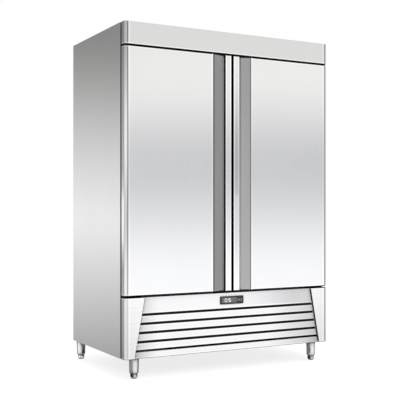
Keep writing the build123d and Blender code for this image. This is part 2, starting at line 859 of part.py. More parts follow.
def hinge_brackets():
    """Two brackets over the doors and two under them."""
    seam_share = 1.5
    upper = hinge_bracket(DOOR_TOP + seam_share, leg_up=True, pin_up=False)
    lower = hinge_bracket(DOOR_BOTTOM - seam_share - PLATE, leg_up=False, pin_up=True)
    return group([upper, lower, mirrored(upper), mirrored(lower)])


# Grille panel and controller


def trapezoid(half_bottom, half_top, bottom, top, front, back):
    """Block with slanted ends, seen from the front as a trapezoid."""
    corners = [(-half_bottom, bottom), (half_bottom, bottom), (half_top, top), (-half_top, top)]
    front_view = Plane.XZ * make_face(Polyline(*corners, close=True))
    return Pos(0, back, 0) * extrude(front_view, amount=back - front)


def grille_body(inset, front, back):
    """Filled shape of the grille panel between two depths, drawn in by an inset."""
    bottom = PANEL_BOTTOM + inset
    top = GRILLE_TOP - inset
    margin = GRILLE_GAP + inset
    return trapezoid(
        slant_at(bottom) - margin, slant_at(top) - margin, bottom, top, front, back
    )


def grille_panel():
    """Louvred sheet with turned-back edges, two pins, two top catches and relieved lower corners."""
    back = GRILLE_FRONT + GRILLE_DEPTH
    panel = grille_body(0.0, GRILLE_FRONT, back)
    panel -= grille_body(SKIN, GRILLE_FRONT + SKIN, back)
    for number in range(1, SLIT_COUNT + 1):
        centre = SLIT_FIRST + number * SLIT_PITCH
        bottom = centre - SLIT_HEIGHT / 2
        top = centre + SLIT_HEIGHT / 2
        margin = GRILLE_GAP + SKIN
        panel -= trapezoid(
            slant_at(bottom) - margin,
            slant_at(top) - margin,
            bottom,
            top,
            GRILLE_FRONT - SKIN,
            GRILLE_FRONT + 2 * SKIN,
        )
        panel += trapezoid(
            slant_at(top) - margin,
            slant_at(top + SKIN) - margin,
            top,
            top + SKIN,
            GRILLE_FRONT + SKIN / 2,
            GRILLE_FRONT + GRILLE_LIP,
        )
    panel -= housing_body(0.0)
    pin_reach = slant_at(GRILLE_PIN_Z) + 2 * GRILLE_PIN_RADIUS
    flange_at = slant_at(GRILLE_PIN_Z) - GRILLE_GAP - SKIN
    for side in (-1, 1):
        panel += rod(
            (side * flange_at, GRILLE_PIN_Y, GRILLE_PIN_Z),
            (side * pin_reach, GRILLE_PIN_Y, GRILLE_PIN_Z),
            GRILLE_PIN_RADIUS,
        )
        panel += block(
            side * CATCH_X - CATCH_WIDTH / 2,
            side * CATCH_X + CATCH_WIDTH / 2,
            back - SKIN,
            back,
            GRILLE_TOP - GRILLE_LIP,
            GRILLE_TOP + CATCH_RISE,
        )
        panel -= block(
            side * (slant_at(PANEL_BOTTOM) - GRILLE_GAP - RELIEF_WIDTH),
            side * HALF_WIDTH,
            back - RELIEF_DEPTH,
            back + SKIN,
            PANEL_BOTTOM - SKIN,
            GRILLE_PIN_Z,
        )
    return panel


def housing_body(shrink):
    """Controller body that passes through the panel."""
    return block(
        -HOUSING_WIDTH / 2 + shrink,
        HOUSING_WIDTH / 2 - shrink,
        GRILLE_FRONT,
        GRILLE_FRONT + HOUSING_DEPTH,
        DISPLAY_Z - HOUSING_HEIGHT / 2 + shrink,
        DISPLAY_Z + HOUSING_HEIGHT / 2 - shrink,
    )


def controller_housing():
    """Bezel and body of the controller, with a window recess and three button wells."""
    face = Plane.XZ * RectangleRounded(BEZEL_WIDTH, BEZEL_HEIGHT, BEZEL_CORNER)
    bezel = Pos(0, GRILLE_FRONT, DISPLAY_Z) * extrude(face, amount=BEZEL_THICKNESS)
    housing = bezel + housing_body(0.0) - display_window()
    bezel_front = GRILLE_FRONT - BEZEL_THICKNESS
    for centre in BUTTON_CENTRES.values():
        housing -= block(
            centre - BUTTON_WIDTH / 2 - FREE_CLEARANCE,
            centre + BUTTON_WIDTH / 2 + FREE_CLEARANCE,
            bezel_front,
            bezel_front + BUTTON_POCKET,
            DISPLAY_Z - BUTTON_HEIGHT / 2 - FREE_CLEARANCE,
            DISPLAY_Z + BUTTON_HEIGHT / 2 + FREE_CLEARANCE,
        )
    return housing


def display_window():
    """Dark window flush in the bezel."""
    bezel_front = GRILLE_FRONT - BEZEL_THICKNESS
    return block(
        WINDOW_LEFT,
        WINDOW_RIGHT,
        bezel_front,
        bezel_front + WINDOW_THICKNESS,
        DISPLAY_Z - WINDOW_HEIGHT / 2,
        DISPLAY_Z + WINDOW_HEIGHT / 2,
    )


def push_button(centre):
    """One controller button, standing a little proud of the bezel."""
    front = GRILLE_FRONT - BEZEL_THICKNESS - BUTTON_PROUD
    face = Plane.XZ * RectangleRounded(BUTTON_WIDTH, BUTTON_HEIGHT, BUTTON_PROUD)
    return Pos(centre, front + BUTTON_LENGTH, DISPLAY_Z) * extrude(face, amount=BUTTON_LENGTH)


# Shelves


def wire_shelf():
    """Welded wire shelf of the right bay at height zero: rim, cross rods and fore-and-aft wires."""
    rim = SHELF_RIM_RADIUS
    front = SHELF_FRONT + rim
    rear = SHELF_REAR - rim
    inner = SHELF_INNER + rim
    outer = SHELF_OUTER - rim
    depth = rear - front
    crossings = [front, front + depth / 3, front + depth * 2 / 3, rear]
    pieces = [rod((inner, y, 0), (outer, y, 0), rim) for y in crossings]
    pieces += [rod((x, front - rim, 0), (x, rear + rim, 0), rim) for x in (inner, outer)]
    wire_z = rim + SHELF_WIRE_RADIUS - SHELF_WELD
    pitch = (outer - inner) / (SHELF_WIRE_COUNT - 1)
    for number in range(SHELF_WIRE_COUNT):
        x = inner + number * pitch
        pieces.append(rod((x, front - rim, wire_z), (x, rear + rim, wire_z), SHELF_WIRE_RADIUS))
    return Part() + pieces


def pilaster(x0, x1, y0, y1):
    """Upright strip with a row of clip slots, between plan limits."""
    strip = block(x0, x1, y0, y1, PILASTER_BOTTOM, PILASTER_TOP)
    slot_half = 3.0
    count = int((PILASTER_TOP - PILASTER_BOTTOM) / PILASTER_SLOT_PITCH)
    middle_x = (x0 + x1) / 2
    middle_y = (y0 + y1) / 2
    slots = []
    for number in range(1, count):
        z = PILASTER_BOTTOM + number * PILASTER_SLOT_PITCH
        if x1 - x0 < y1 - y0:
            slots.append(
                block(x0, x1, middle_y - slot_half, middle_y + slot_half, z, z + 4 * slot_half)
            )
        else:
            slots.append(
                block(middle_x - slot_half, middle_x + slot_half, y0, y1, z, z + 4 * slot_half)
            )
    return strip - slots


def shelf_pilasters():
    """Two strips on each side wall, two behind the mullion and two at the back wall."""
    strips = []
    for y in SIDE_PILASTER_YS:
        strips.append(
            pilaster(
                INNER_SIDE - PILASTER_DEPTH,
                INNER_SIDE,
                y - PILASTER_WIDTH / 2,
                y + PILASTER_WIDTH / 2,
            )
        )
    mullion_back = FACE + MULLION_DEPTH
    centre_inner = 3.0
    centre_outer = centre_inner + PILASTER_WIDTH
    strips.append(pilaster(centre_inner, centre_outer, mullion_back, mullion_back + PILASTER_DEPTH))
    strips.append(pilaster(centre_inner, centre_outer, INNER_BACK - PILASTER_DEPTH, INNER_BACK))
    return group(strips + [mirrored(strip) for strip in strips])


def right_clips(level):
    """The four clips that carry a shelf of the right bay at a level."""
    top = level - SHELF_RIM_RADIUS - FREE_CLEARANCE
    low = top - CLIP_HEIGHT
    half = CLIP_WIDTH / 2
    side = INNER_SIDE - PILASTER_DEPTH
    clips = [
        block(side - CLIP_REACH, side, y - half, y + half, low, top) for y in SIDE_PILASTER_YS
    ]
    front = FACE + MULLION_DEPTH + PILASTER_DEPTH
    rear = INNER_BACK - PILASTER_DEPTH
    clip_inner = 7.0
    clip_outer = SHELF_INNER + CLIP_WIDTH
    clips.append(block(clip_inner, clip_outer, front, front + CLIP_REACH, low, top))
    clips.append(block(clip_inner, clip_outer, rear - CLIP_REACH, rear, low, top))
    return clips


def shelf_clips():
    """All the shelf clips of both bays."""
    clips = [clip for level in SHELF_LEVELS for clip in right_clips(level)]
    return group(clips + [mirrored(clip) for clip in clips])


# Cooling system


def finned_coil(x0, x1, y0, y1, z0, z1, fins, tubes_deep, tubes_high):
    """Coil of thin fins on straight tubes that run across the cabinet, with solid end plates."""
    tube_radius = 5.0
    fin_sheet = 1.0
    end_sheet = 2.0
    pieces = [
        block(x0, x0 + end_sheet, y0, y1, z0, z1),
        block(x1 - end_sheet, x1, y0, y1, z0, z1),
    ]
    pitch = (x1 - x0) / (fins + 1)
    for number in range(1, fins + 1):
        x = x0 + number * pitch
        pieces.append(block(x, x + fin_sheet, y0, y1, z0, z1))
    reach = 2 * tube_radius
    row_depth = (y1 - y0) / tubes_deep
    row_height = (z1 - z0) / tubes_high
    for deep in range(tubes_deep):
        for high in range(tubes_high):
            y = y0 + row_depth / 2 + deep * row_depth
            z = z0 + row_height / 2 + high * row_height
            pieces.append(rod((x0 - reach, y, z), (x1 + reach, y, z), tube_radius))
    return Part() + pieces


def evaporator_coil():
    """Finned coil under the ceiling."""
    return finned_coil(
        -EVAPORATOR_HALF,
        EVAPORATOR_HALF,
        EVAPORATOR_COIL_FRONT,
        EVAPORATOR_COIL_BACK,
        EVAPORATOR_COIL_BOTTOM,
        EVAPORATOR_COIL_TOP,
        fins=36,
        tubes_deep=3,
        tubes_high=2,
    )


def evaporator_cover():
    """Tray-shaped cover below the coil, slotted under the fan and along its rear wall."""
    outer = block(-COVER_HALF, COVER_HALF, COVER_FRONT, COVER_BACK, COVER_BOTTOM, CEILING)
    inner = block(
        -COVER_HALF + COVER_SHEET,
        COVER_HALF - COVER_SHEET,
        COVER_FRONT + COVER_SHEET,
        COVER_BACK - COVER_SHEET,
        COVER_BOTTOM + COVER_SHEET,
        CEILING,
    )
    cover = outer - inner
    slot_count = 16
    slot_width = 9.0
    slot_inner = 32.0
    slot_outer = EVAPORATOR_FAN_RADIUS
    past = 2 * COVER_SHEET
    slot = block(
        slot_inner,
        slot_outer,
        -slot_width / 2,
        slot_width / 2,
        COVER_BOTTOM - past,
        COVER_BOTTOM + past,
    )
    centre = Pos(EVAPORATOR_FAN[0], EVAPORATOR_FAN[1], 0)
    for number in range(slot_count):
        cover -= centre * Rot(0, 0, number * 360 / slot_count) * slot
    outlet_count = 11
    outlet_pitch = 70.0
    outlet_width = 50.0
    for number in range(outlet_count):
        x = (number - (outlet_count - 1) / 2) * outlet_pitch
        cover -= block(
            x - outlet_width / 2,
            x + outlet_width / 2,
            COVER_BACK - past,
            COVER_BACK + past,
            EVAPORATOR_COIL_BOTTOM,
            EVAPORATOR_COIL_TOP,
        )
    return cover - refrigerant_lines() - evaporator_drain()


def fan_blade(radius):
    """Hub with pitched blades and a stub shaft, turning about Z with the shaft upwards."""
    hub = rod((0, 0, 0), (0, 0, FAN_DEPTH), HUB_RADIUS)
    shaft = rod((0, 0, FAN_DEPTH), (0, 0, FAN_DEPTH + SHAFT_LENGTH), SHAFT_RADIUS)
    sheet = 2.0
    chord = 52.0
    pitch_angle = 22.0
    root = HUB_RADIUS - 4.0
    blade = Pos((root + radius) / 2, 0, FAN_DEPTH / 2) * Rot(pitch_angle, 0, 0)
    blade = blade * Box(radius - root, chord, sheet)
    tip_ring = rod((0, 0, 0), (0, 0, FAN_DEPTH), radius)
    blades = [Rot(0, 0, n * 360 / FAN_BLADES) * blade for n in range(FAN_BLADES)]
    return (Part() + [hub, shaft] + blades) & (tip_ring + shaft)


def evaporator_fan_blade():
    """Fan that draws air up through the cover."""
    place = Pos(EVAPORATOR_FAN[0], EVAPORATOR_FAN[1], EVAPORATOR_FAN_Z)
    return place * fan_blade(EVAPORATOR_FAN_RADIUS)


def condenser_fan_centre():
    """Middle of the condenser fan, seen from the front."""
    return CONDENSER_X, (CONDENSER_BOTTOM + CONDENSER_TOP) / 2


def condenser_fan_blade():
    """Fan that draws room air through the condenser, its shaft pointing back."""
    x, z = condenser_fan_centre()
    return Pos(x, CONDENSER_FAN_Y, z) * Rot(-90, 0, 0) * fan_blade(CONDENSER_FAN_RADIUS)


def motor_body():
    """Round fan motor above the origin, bored for the shaft from below."""
    body = rod((0, 0, 0), (0, 0, MOTOR_LENGTH), MOTOR_RADIUS)
    bore = rod((0, 0, 0), (0, 0, MOTOR_LENGTH * 2 / 3), SHAFT_RADIUS + RUNNING_CLEARANCE)
    return body - bore


def fan_motors():
    """Evaporator fan motor on a ceiling strap, and condenser fan motor on a pedestal."""
    air_gap = 3.0
    strap_sheet = 3.0
    x, y = EVAPORATOR_FAN
    motor_z = EVAPORATOR_FAN_Z + FAN_DEPTH + air_gap
    strap_half = 15.0
    ceiling_motor = Pos(x, y, motor_z) * motor_body()
    ceiling_motor += block(
        x - strap_half, x + strap_half, y - strap_half, y + strap_half, motor_z + MOTOR_LENGTH, CEILING
    )
    fan_x, fan_z = condenser_fan_centre()
    motor_y = CONDENSER_FAN_Y + FAN_DEPTH + air_gap
    pedestal_back = motor_y + MOTOR_LENGTH
    pan_motor = Pos(fan_x, motor_y, fan_z) * Rot(-90, 0, 0) * motor_body()
    pan_motor += block(
        fan_x - strap_half,
        fan_x + strap_half,
        pedestal_back - strap_sheet,
        pedestal_back,
        PAN_TOP,
        fan_z,
    )
    return group([ceiling_motor, pan_motor])


def condenser_coil():
    """Finned coil behind the front grille."""
    return finned_coil(
        CONDENSER_X - CONDENSER_HALF,
        CONDENSER_X + CONDENSER_HALF,
        CONDENSER_FRONT,
        CONDENSER_BACK,
        CONDENSER_BOTTOM,
        CONDENSER_TOP,
        fins=30,
        tubes_deep=2,
        tubes_high=7,
    )


def condenser_shroud():
    """Box from the coil back to a round fan opening, standing on the base pan."""
    sheet = 1.5
    x0 = CONDENSER_X - CONDENSER_HALF
    x1 = CONDENSER_X + CONDENSER_HALF
    shroud = block(x0, x1, CONDENSER_BACK, SHROUD_BACK, PAN_TOP, CONDENSER_TOP)
    shroud -= block(
        x0 + sheet,
        x1 - sheet,
        CONDENSER_BACK,
        SHROUD_BACK - sheet,
        PAN_TOP + sheet,
        CONDENSER_TOP - sheet,
    )
    x, z = condenser_fan_centre()
    opening_radius = CONDENSER_FAN_RADIUS + 6.0
    return shroud - rod((x, CONDENSER_BACK, z), (x, BACK, z), opening_radius)


def compressor():
    """Sealed compressor: domed shell on a foot plate, with a terminal cover."""
    x = COMPRESSOR_X
    y = COMPRESSOR_Y
    dome = 41.0
    rim = 4.0
    body = Pos(x, y, (COMPRESSOR_BASE_Z + COMPRESSOR_TOP_Z) / 2) * Cylinder(
        COMPRESSOR_RADIUS, COMPRESSOR_TOP_Z - COMPRESSOR_BASE_Z
    )
    ends = body.edges().filter_by(GeomType.CIRCLE)
    body = fillet(ends, dome)
    waist = (COMPRESSOR_BASE_Z + COMPRESSOR_TOP_Z) / 2 + dome / 2
    body += rod((x, y, waist - rim), (x, y, waist + rim), COMPRESSOR_RADIUS + rim)
    foot_half_x = 110.0
    foot_half_y = 75.0
    foot_top = COMPRESSOR_BASE_Z + 3.0
    grommet_hole = 5.0
    cover_reach = 100.0
    cover_root = 70.0
    cover_half = 32.0
    cover_bottom = 190.0
    cover_top = 262.0
    foot = block(
        x - foot_half_x, x + foot_half_x, y - foot_half_y, y + foot_half_y, COMPRESSOR_BASE_Z, foot_top
    )
    foot -= [rod((gx, gy, 0), (gx, gy, HEIGHT), grommet_hole) for gx, gy in grommet_places()]
    terminals = block(
        x - cover_reach, x - cover_root, y - cover_half, y + cover_half, cover_bottom, cover_top
    )
    return body + foot + terminals


def grommet_places():
    """Centres of the four rubber mounts under the compressor."""
    reach_x = 95.0
    reach_y = 60.0
    return [
        (COMPRESSOR_X + sx * reach_x, COMPRESSOR_Y + sy * reach_y) for sx in (-1, 1) for sy in (-1, 1)
    ]


def compressor_grommets():
    """Rubber mounts between the compressor's foot plate and the base pan."""
    radius = 13.0
    return group([rod((x, y, PAN_TOP), (x, y, COMPRESSOR_BASE_Z), radius) for x, y in grommet_places()])


def refrigerant_lines():
    """Suction, liquid and discharge lines, with the filter drier on the liquid line."""
    bend = 22.0
    x = COMPRESSOR_X
    y = COMPRESSOR_Y
    coil_y = (EVAPORATOR_COIL_FRONT + EVAPORATOR_COIL_BACK) / 2
    coil_z = (EVAPORATOR_COIL_BOTTOM + EVAPORATOR_COIL_TOP) / 2
    tube_end = 10.0
    suction_z = 250.0
    suction = bent_tube(
        [
            (x, y + COMPRESSOR_RADIUS - SHEET, suction_z),
            (x, LINE_DEPTH_Y, suction_z),
            (x, LINE_DEPTH_Y, coil_z),
            (x, EVAPORATOR_COIL_BACK, coil_z),
        ],
        bend,
        SUCTION_RADIUS,
    )
    suction -= compressor_reach()
    liquid_x = x + 124.0
    liquid_z = CONDENSER_BOTTOM + 30.0
    condenser_right = CONDENSER_X + CONDENSER_HALF + tube_end
    condenser_row = CONDENSER_BACK - 15.0
    liquid = bent_tube(
        [
            (condenser_right, condenser_row, liquid_z),
            (liquid_x, condenser_row, liquid_z),
            (liquid_x, LINE_DEPTH_Y, liquid_z),
            (liquid_x, LINE_DEPTH_Y, coil_z),
            (liquid_x, coil_y, coil_z),
            (EVAPORATOR_HALF + tube_end, coil_y, coil_z),
        ],
        bend,
        LIQUID_RADIUS,
    )
    drier_bottom = 230.0
    drier_top = 350.0
    drier = rod(
        (liquid_x, LINE_DEPTH_Y, drier_bottom), (liquid_x, LINE_DEPTH_Y, drier_top), DRIER_RADIUS
    )
    discharge_x = x - 30.0
    discharge_start_z = 240.0
    discharge_z = CONDENSER_TOP - 30.0
    front_of_shell = y - COMPRESSOR_RADIUS
    discharge_out = front_of_shell - 50.0
    discharge = bent_tube(
        [
            (discharge_x, front_of_shell + tube_end, discharge_start_z),
            (discharge_x, discharge_out, discharge_start_z),
            (discharge_x, discharge_out, discharge_z),
            (discharge_x, condenser_row, discharge_z),
            (condenser_right, condenser_row, discharge_z),
        ],
        bend,
        LIQUID_RADIUS,
    )
    discharge -= compressor_reach()
    return group([suction, liquid + drier, discharge])


def compressor_reach():
    """Space of the compressor's round shell, which the lines stop at."""
    return rod(
        (COMPRESSOR_X, COMPRESSOR_Y, COMPRESSOR_BASE_Z),
        (COMPRESSOR_X, COMPRESSOR_Y, COMPRESSOR_TOP_Z),
        COMPRESSOR_RADIUS,
    )


def evaporator_drain():
    """Drain tube from the evaporator tray down inside the rear wall to the condensate pan."""
    bend = 24.0
    start_x = -380.0
    start_y = COVER_BACK - 40.0
    start_z = COVER_BOTTOM + 12.0
    crossing_z = 410.0
    end_z = CONDENSATE_TOP + 20.0
    return bent_tube(
        [
            (start_x, start_y, start_z),
            (start_x, LINE_DEPTH_Y, start_z),
            (start_x, LINE_DEPTH_Y, crossing_z),
            (DRAIN_X, LINE_DEPTH_Y, crossing_z),
            (DRAIN_X, LINE_DEPTH_Y, end_z),
        ],
        bend,
        DRAIN_RADIUS,
    )


def condensate_pan():
    """Open pan on the machine-room floor in which the drain water evaporates."""
    x0, x1, y0, y1 = CONDENSATE_PAN
    wall = 2.0
    pan = block(x0, x1, y0, y1, PAN_TOP, CONDENSATE_TOP)
    return pan - block(x0 + wall, x1 - wall, y0 + wall, y1 - wall, PAN_TOP + wall, CONDENSATE_TOP)


def interior_light():
    """One light bar under the lintel in each bay."""
    inner = 90.0
    outer = 560.0
    front = -332.0
    rear = -308.0
    thickness = 10.0
    corner = 4.0
    bar = block(inner, outer, front, rear, OPENING_TOP - thickness, OPENING_TOP)
    bar = fillet(bar.edges().filter_by(Axis.X).group_by(Axis.Z)[0], corner)
    return group([bar, mirrored(bar)])


# Fasteners


def leg_bolt(x, y):
    """Hexagon-headed bolt up through a leg plate and the base pan."""
    head_height = 3.0
    low = PAN_BOTTOM - LEG_PLATE
    hexagon = Pos(x, y, low) * RegularPolygon(LEG_BOLT_HEAD_RADIUS, 6)
    return extrude(hexagon, -head_height) + rod((x, y, low), (x, y, PAN_TOP), LEG_BOLT_RADIUS)


def cabinet_screws():
    """Leg bolts from below, and screws along the back panel's and rear grille's edges."""
    bolts = [leg_bolt(x, y) for x, y in leg_bolt_places()]
    head_radius = 4.0
    edge = HALF_WIDTH - REAR_FLANGE - 12.0
    heights = (164.0, 420.0, 480.0, 960.0, 1440.0, 1940.0)
    screw_plane = BACK - SHEET
    for x in (-edge, 0.0, edge):
        for z in heights:
            bolts.append(rod((x, screw_plane, z), (x, BACK, z), head_radius))
    return group(bolts)


def write(name, shape):
    """Writes one node, labelled with its name."""
    shape.label = name
    export_step(shape, os.path.join("parts", name + ".step"))


def write_cabinet():
    """Writes the fixed pieces of the cabinet, base and cooling system."""
    side = side_panel_left()
    write("side_panel_left", side)
    write("side_panel_right", mirrored(side))
    makers = [
        top_panel,
        back_panel,
        underfloor_panel,
        insulation_foam,
        inner_liner,
        breaker_strips,
        front_frame,
        header_panel,
        base_surround,
        base_pan,
        rear_grille,
        power_inlet,
        leg_tubes,
        hinge_brackets,
        shelf_pilasters,
        shelf_clips,
        interior_light,
        evaporator_coil,
        evaporator_cover,
        evaporator_drain,
        fan_motors,
        condenser_coil,
        condenser_shroud,
        compressor,
        compressor_grommets,
        refrigerant_lines,
        condensate_pan,
        cabinet_screws,
    ]
    for maker in makers:
        write(maker.__name__, maker())


def write_doors():
    """Writes the left door's pieces and their mirror images."""
    makers = [
        left_door_skin,
        left_pull_profile,
        left_door_core,
        left_door_inner_panel,
        left_door_gasket,
        left_door_bushes,
    ]
    for maker in makers:
        piece = maker()
        name = maker.__name__
        write(name, piece)
        write(name.replace("left", "right"), mirrored(piece))


def write_moving_pieces():
    """Writes the grille panel, controller, feet, fan blades and shelves."""
    write("grille_panel", grille_panel())
    write("controller_housing", controller_housing())
    write("display_window", display_window())
    for name, centre in BUTTON_CENTRES.items():
        write(name, push_button(centre))
    foot = levelling_foot()
    for place, (x, y) in leg_places().items():
        write("foot_" + place, Pos(x, y, 0) * foot)
    write("evaporator_fan_blade", evaporator_fan_blade())
    write("condenser_fan_blade", condenser_fan_blade())
    shelf = wire_shelf()
    other = mirrored(shelf)
    for number, level in enumerate(SHELF_LEVELS, start=1):
        write(f"right_shelf_{number}", Pos(0, 0, level) * shelf)
        write(f"left_shelf_{number}", Pos(0, 0, level) * other)


os.makedirs("parts", exist_ok=True)
write_cabinet()
write_doors()
write_moving_pieces()
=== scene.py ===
"""Looks of a two-door commercial refrigerator: finishes, small forms, studio and camera."""

import math

import bpy
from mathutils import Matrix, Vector


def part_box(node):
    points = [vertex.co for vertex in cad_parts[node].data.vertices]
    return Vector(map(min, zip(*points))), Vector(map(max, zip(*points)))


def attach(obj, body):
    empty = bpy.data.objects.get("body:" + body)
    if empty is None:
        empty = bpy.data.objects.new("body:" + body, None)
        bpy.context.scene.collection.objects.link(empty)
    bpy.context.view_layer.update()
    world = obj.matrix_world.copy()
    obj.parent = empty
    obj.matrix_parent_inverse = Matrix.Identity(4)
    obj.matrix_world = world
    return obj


# Camera, in the frame's metres
CAMERA_PLACE = (-2.4827, -4.5711, 0.9404)
CAMERA_YAW = math.radians(-28.543)
CAMERA_LENS = 74.17
CAMERA_SENSOR = 36.0
CAMERA_SHIFT_UP = 0.025
CAMERA_REACH = 200.0

# Lamps: name, place, size and power; all aim at the object's middle
LAMP_TARGET = (0.0, 0.0, 1.0)
LAMPS = [
    ("key_light", (-3.0, -4.5, 3.6), (3.0, 3.0), 110.0),
    ("fill_light", (4.0, -3.5, 2.4), (2.5, 2.5), 60.0),
    ("top_light", (0.0, -0.5, 5.2), (4.0, 4.0), 80.0),
    ("rear_light", (1.5, 5.0, 3.2), (3.0, 3.0), 60.0),
]

# Studio: what polished surfaces see, as (upward part of the direction, brightness)
SKY_SPAN = 0.6
SKY_FULL = 1.4
SKY_RIGHT = [
    (-0.60, 0.98),
    (-0.37, 0.70),
    (-0.22, 1.12),
    (-0.085, 1.27),
    (0.057, 0.68),
    (0.158, 1.14),
    (0.21, 1.00),
    (0.35, 0.78),
    (0.60, 1.10),
]
SKY_LEFT = [
    (-0.60, 0.95),
    (-0.38, 0.66),
    (-0.24, 0.96),
    (-0.14, 0.98),
    (-0.085, 1.18),
    (-0.012, 0.60),
    (0.085, 1.18),
    (0.20, 0.45),
    (0.38, 0.80),
    (0.60, 1.00),
]
SKY_BACK = [
    (-0.60, 0.95),
    (-0.42, 0.62),
    (-0.28, 0.66),
    (-0.205, 0.38),
    (-0.17, 0.49),
    (-0.014, 1.17),
    (0.085, 0.78),
    (0.158, 0.45),
    (0.21, 0.27),
    (0.30, 0.50),
    (0.42, 0.85),
    (0.60, 0.90),
]
SKY_SIDE = [
    (-0.60, 1.30),
    (-0.21, 1.30),
    (-0.17, 0.42),
    (-0.10, 0.36),
    (-0.062, 0.60),
    (-0.036, 1.05),
    (0.012, 1.16),
    (0.036, 0.67),
    (0.085, 0.46),
    (0.20, 0.32),
    (0.60, 0.40),
]
SKY_MIDDLE = (1.0, 1.0, 1.0)
SKY_FAR_RIGHT = (0.25, 0.25, 0.25)
SKY_DUE_RIGHT = (0.44, 0.44, 0.44)
SKY_REAR_RIGHT = (0.28, 0.28, 0.28)

# Colour casts of the studio: warm above, plain or cool below
SKY_WARM = (1.0, 0.998, 0.985)
SKY_COOL = (0.988, 0.996, 1.034)
SKY_PLAIN = (1.0, 1.0, 1.0)
WARM_START = 0.1
COOL_START = -0.20
COOL_RISE = 0.24
AMBIENT = 0.60

# Where the studio's parts meet, by the sideways or backward part of a direction
LEFT_MEETS = (-0.35, -0.05)
SIDE_MEETS = (-0.95, -0.80)
FAR_RIGHT_MEETS = (0.70, 0.98)
DUE_RIGHT_MEETS = (0.93, 0.98)
REAR_RIGHT_MEETS = (0.05, 0.35)
BACK_MEETS = (-0.15, 0.25)
MIDDLE_X = 0.10
MIDDLE_SPREAD = (0.05, 0.2)
MIDDLE_SHARE = 0.25

# Floor: its glow by distance and its paint for the camera, and its paint for the room
FLOOR_SIZE = 60.0
FLOOR_GLOW = 0.79
FLOOR_GLOW_FAR = 0.86
FLOOR_GLOW_SPREAD = (1.5, 7.0)
FLOOR_COLOUR = (0.32, 0.32, 0.32, 1.0)
ROOM_FLOOR_COLOUR = (0.8, 0.8, 0.8, 1.0)

# Shadowed floor that only polished surfaces see: limits in metres and levels
UNDER_X = (0.71, 0.74)
UNDER_RIGHT_EXTRA = 0.05
UNDER_LEFT_SLANT = 0.25
UNDER_Y = (0.37, 0.43)
BEFORE_LEFT = (0.0, 0.08)
BEFORE_RIGHT = (0.40, 0.47)
BEFORE_FRONT = (-0.62, -0.56)
BEFORE_BACK = (0.0, 0.1)
BESIDE_X = -0.97
BESIDE_REACH = (0.29, 0.33)
BESIDE_SLANT = 0.57
BESIDE_FRONT = (-0.09, -0.02)
BESIDE_BACK = (-0.02, 0.06)
UNDER_GLOW = 0.03
UNDER_GLOW_RIGHT = 0.22
UNDER_GLOW_LEFT = 0.34
UNDER_GLOW_MIDWAY = 0.20
GLOW_RIGHT_SPREAD = (-0.15, 0.15)
GLOW_LEFT_SPREAD = (-0.70, -0.66)
GLOW_MIDWAY_SPREAD = (0.10, 0.20)

# Feet, seen from the floor: the clear and the darker ring round each, and its dark side
FOOT_X = 0.62
FOOT_Y = 0.34
FOOT_SIDES = (-0.1, 0.1)
REAR_FOOT_SHIFT = 0.05
LEFT_FOOT_SHIFT = 0.03
FOOT_FAR = (0.05, 0.09)
FOOT_DARK_SIDE = (0.025, 0.045)
FOOT_CLEAR = (0.018, 0.026)
FOOT_RING = (0.13, 0.16)
FOOT_RING_LEVEL = 0.08

# Painted highlights and painted shade on the metal: distances from the middle, places forward and
# heights, as spans or centres
FOLD_X = 0.6688
FOLD_SPREAD = (0.0018, 0.0036)
FOLD_ON_BASE = 0.35
FOLD_ON_RIGHT = 0.45
BASE_TOP_FADE = (0.455, 0.460)
MIDDLE_FADE = (-0.1, 0.1)
SIDE_FADE = (0.6856, 0.6872)
CORNER_FADE = (0.6848, 0.6864)
CORNER_DEPTH = (-0.3955, -0.3925)
FOLD_HIGHLIGHT_X = 0.6595
FOLD_HIGHLIGHT_SPREAD = (0.0030, 0.0055)
RETURN_FADE = (0.6868, 0.6876)
FRONT_FACE = (-0.4062, -0.4050)
MIDDLE_LINE = (-0.001, 0.001)
# Painted highlight beside seams and painted shade in them: widths in metres and fades
HIGHLIGHT_HEM = 0.0060
HIGHLIGHT_HEM_FADE = 1.5
SEAM_SHADE_LINE = 0.0012
SEAM_SHADE_FADE = 1.6

# How strong those painted marks are, up to 1
FOLD_SHARE = 0.9
SIDE_SHARE = 0.25
CORNER_SHARE = 0.35
FOLD_HIGHLIGHT_SHARE = 0.4
GLINT_SHARE = 0.9
SEAM_SHADE_SHARE = 0.97
STRIP_INNER_SHARE = 0.95
STRIP_LEFT_SHARE = 0.79
RIM_SHADE_SHARE = 0.5

# Pull strips and grip channels, with painted highlights along their edges and painted shade in the
# channels
STRIP_SIDE = (0.0482, 0.0486)
STRIP_INNER_EDGE = (0.0083, 0.0087)
STRIP_LEFT_EDGE = (0.0455, 0.0458)
STRIP_INNER_GLINT = 0.0140
STRIP_OUTER_GLINTS = (-0.0420, 0.0440)
STRIP_GLINT_SPREAD = (0.0025, 0.0040)
CHANNEL_INNER = (0.0485, 0.0488)
CHANNEL_OUTER = (0.1316, 0.1320)
CHANNEL_RIM = (0.1185, 0.1200)
CHANNEL_RIGHT_SHIFT = 0.002
CHANNEL_GLINTS = (-0.1349, 0.1326)
CHANNEL_GLINT_SPREAD = (0.0026, 0.0036)
CHANNEL_DEPTH = (0.055, 0.065)
CHANNEL_CORNER = (0.0655, 0.0690)
CHANNEL_RIGHT_LIGHT = (0.28, 0.06, 0.47, 1.85)
CHANNEL_CORNER_SHADE_SHARE = (0.22, 0.6, 0.6, 1.8)
CHANNEL_GREYS = (0.365, 0.405)
CHANNEL_DEPTH_SHADE_GREYS = (0.20, 0.06)
CHANNEL_RIM_SHADE_GREY = 0.05
CHANNEL_CORNER_SHADE_GREY = 0.12
CHANNEL_CLOUD_SCALE = 300.0
CHANNEL_SEAM_SHADE = (0.014, 0.3, 0.75)
CHANNEL_ROUGHER = 0.3
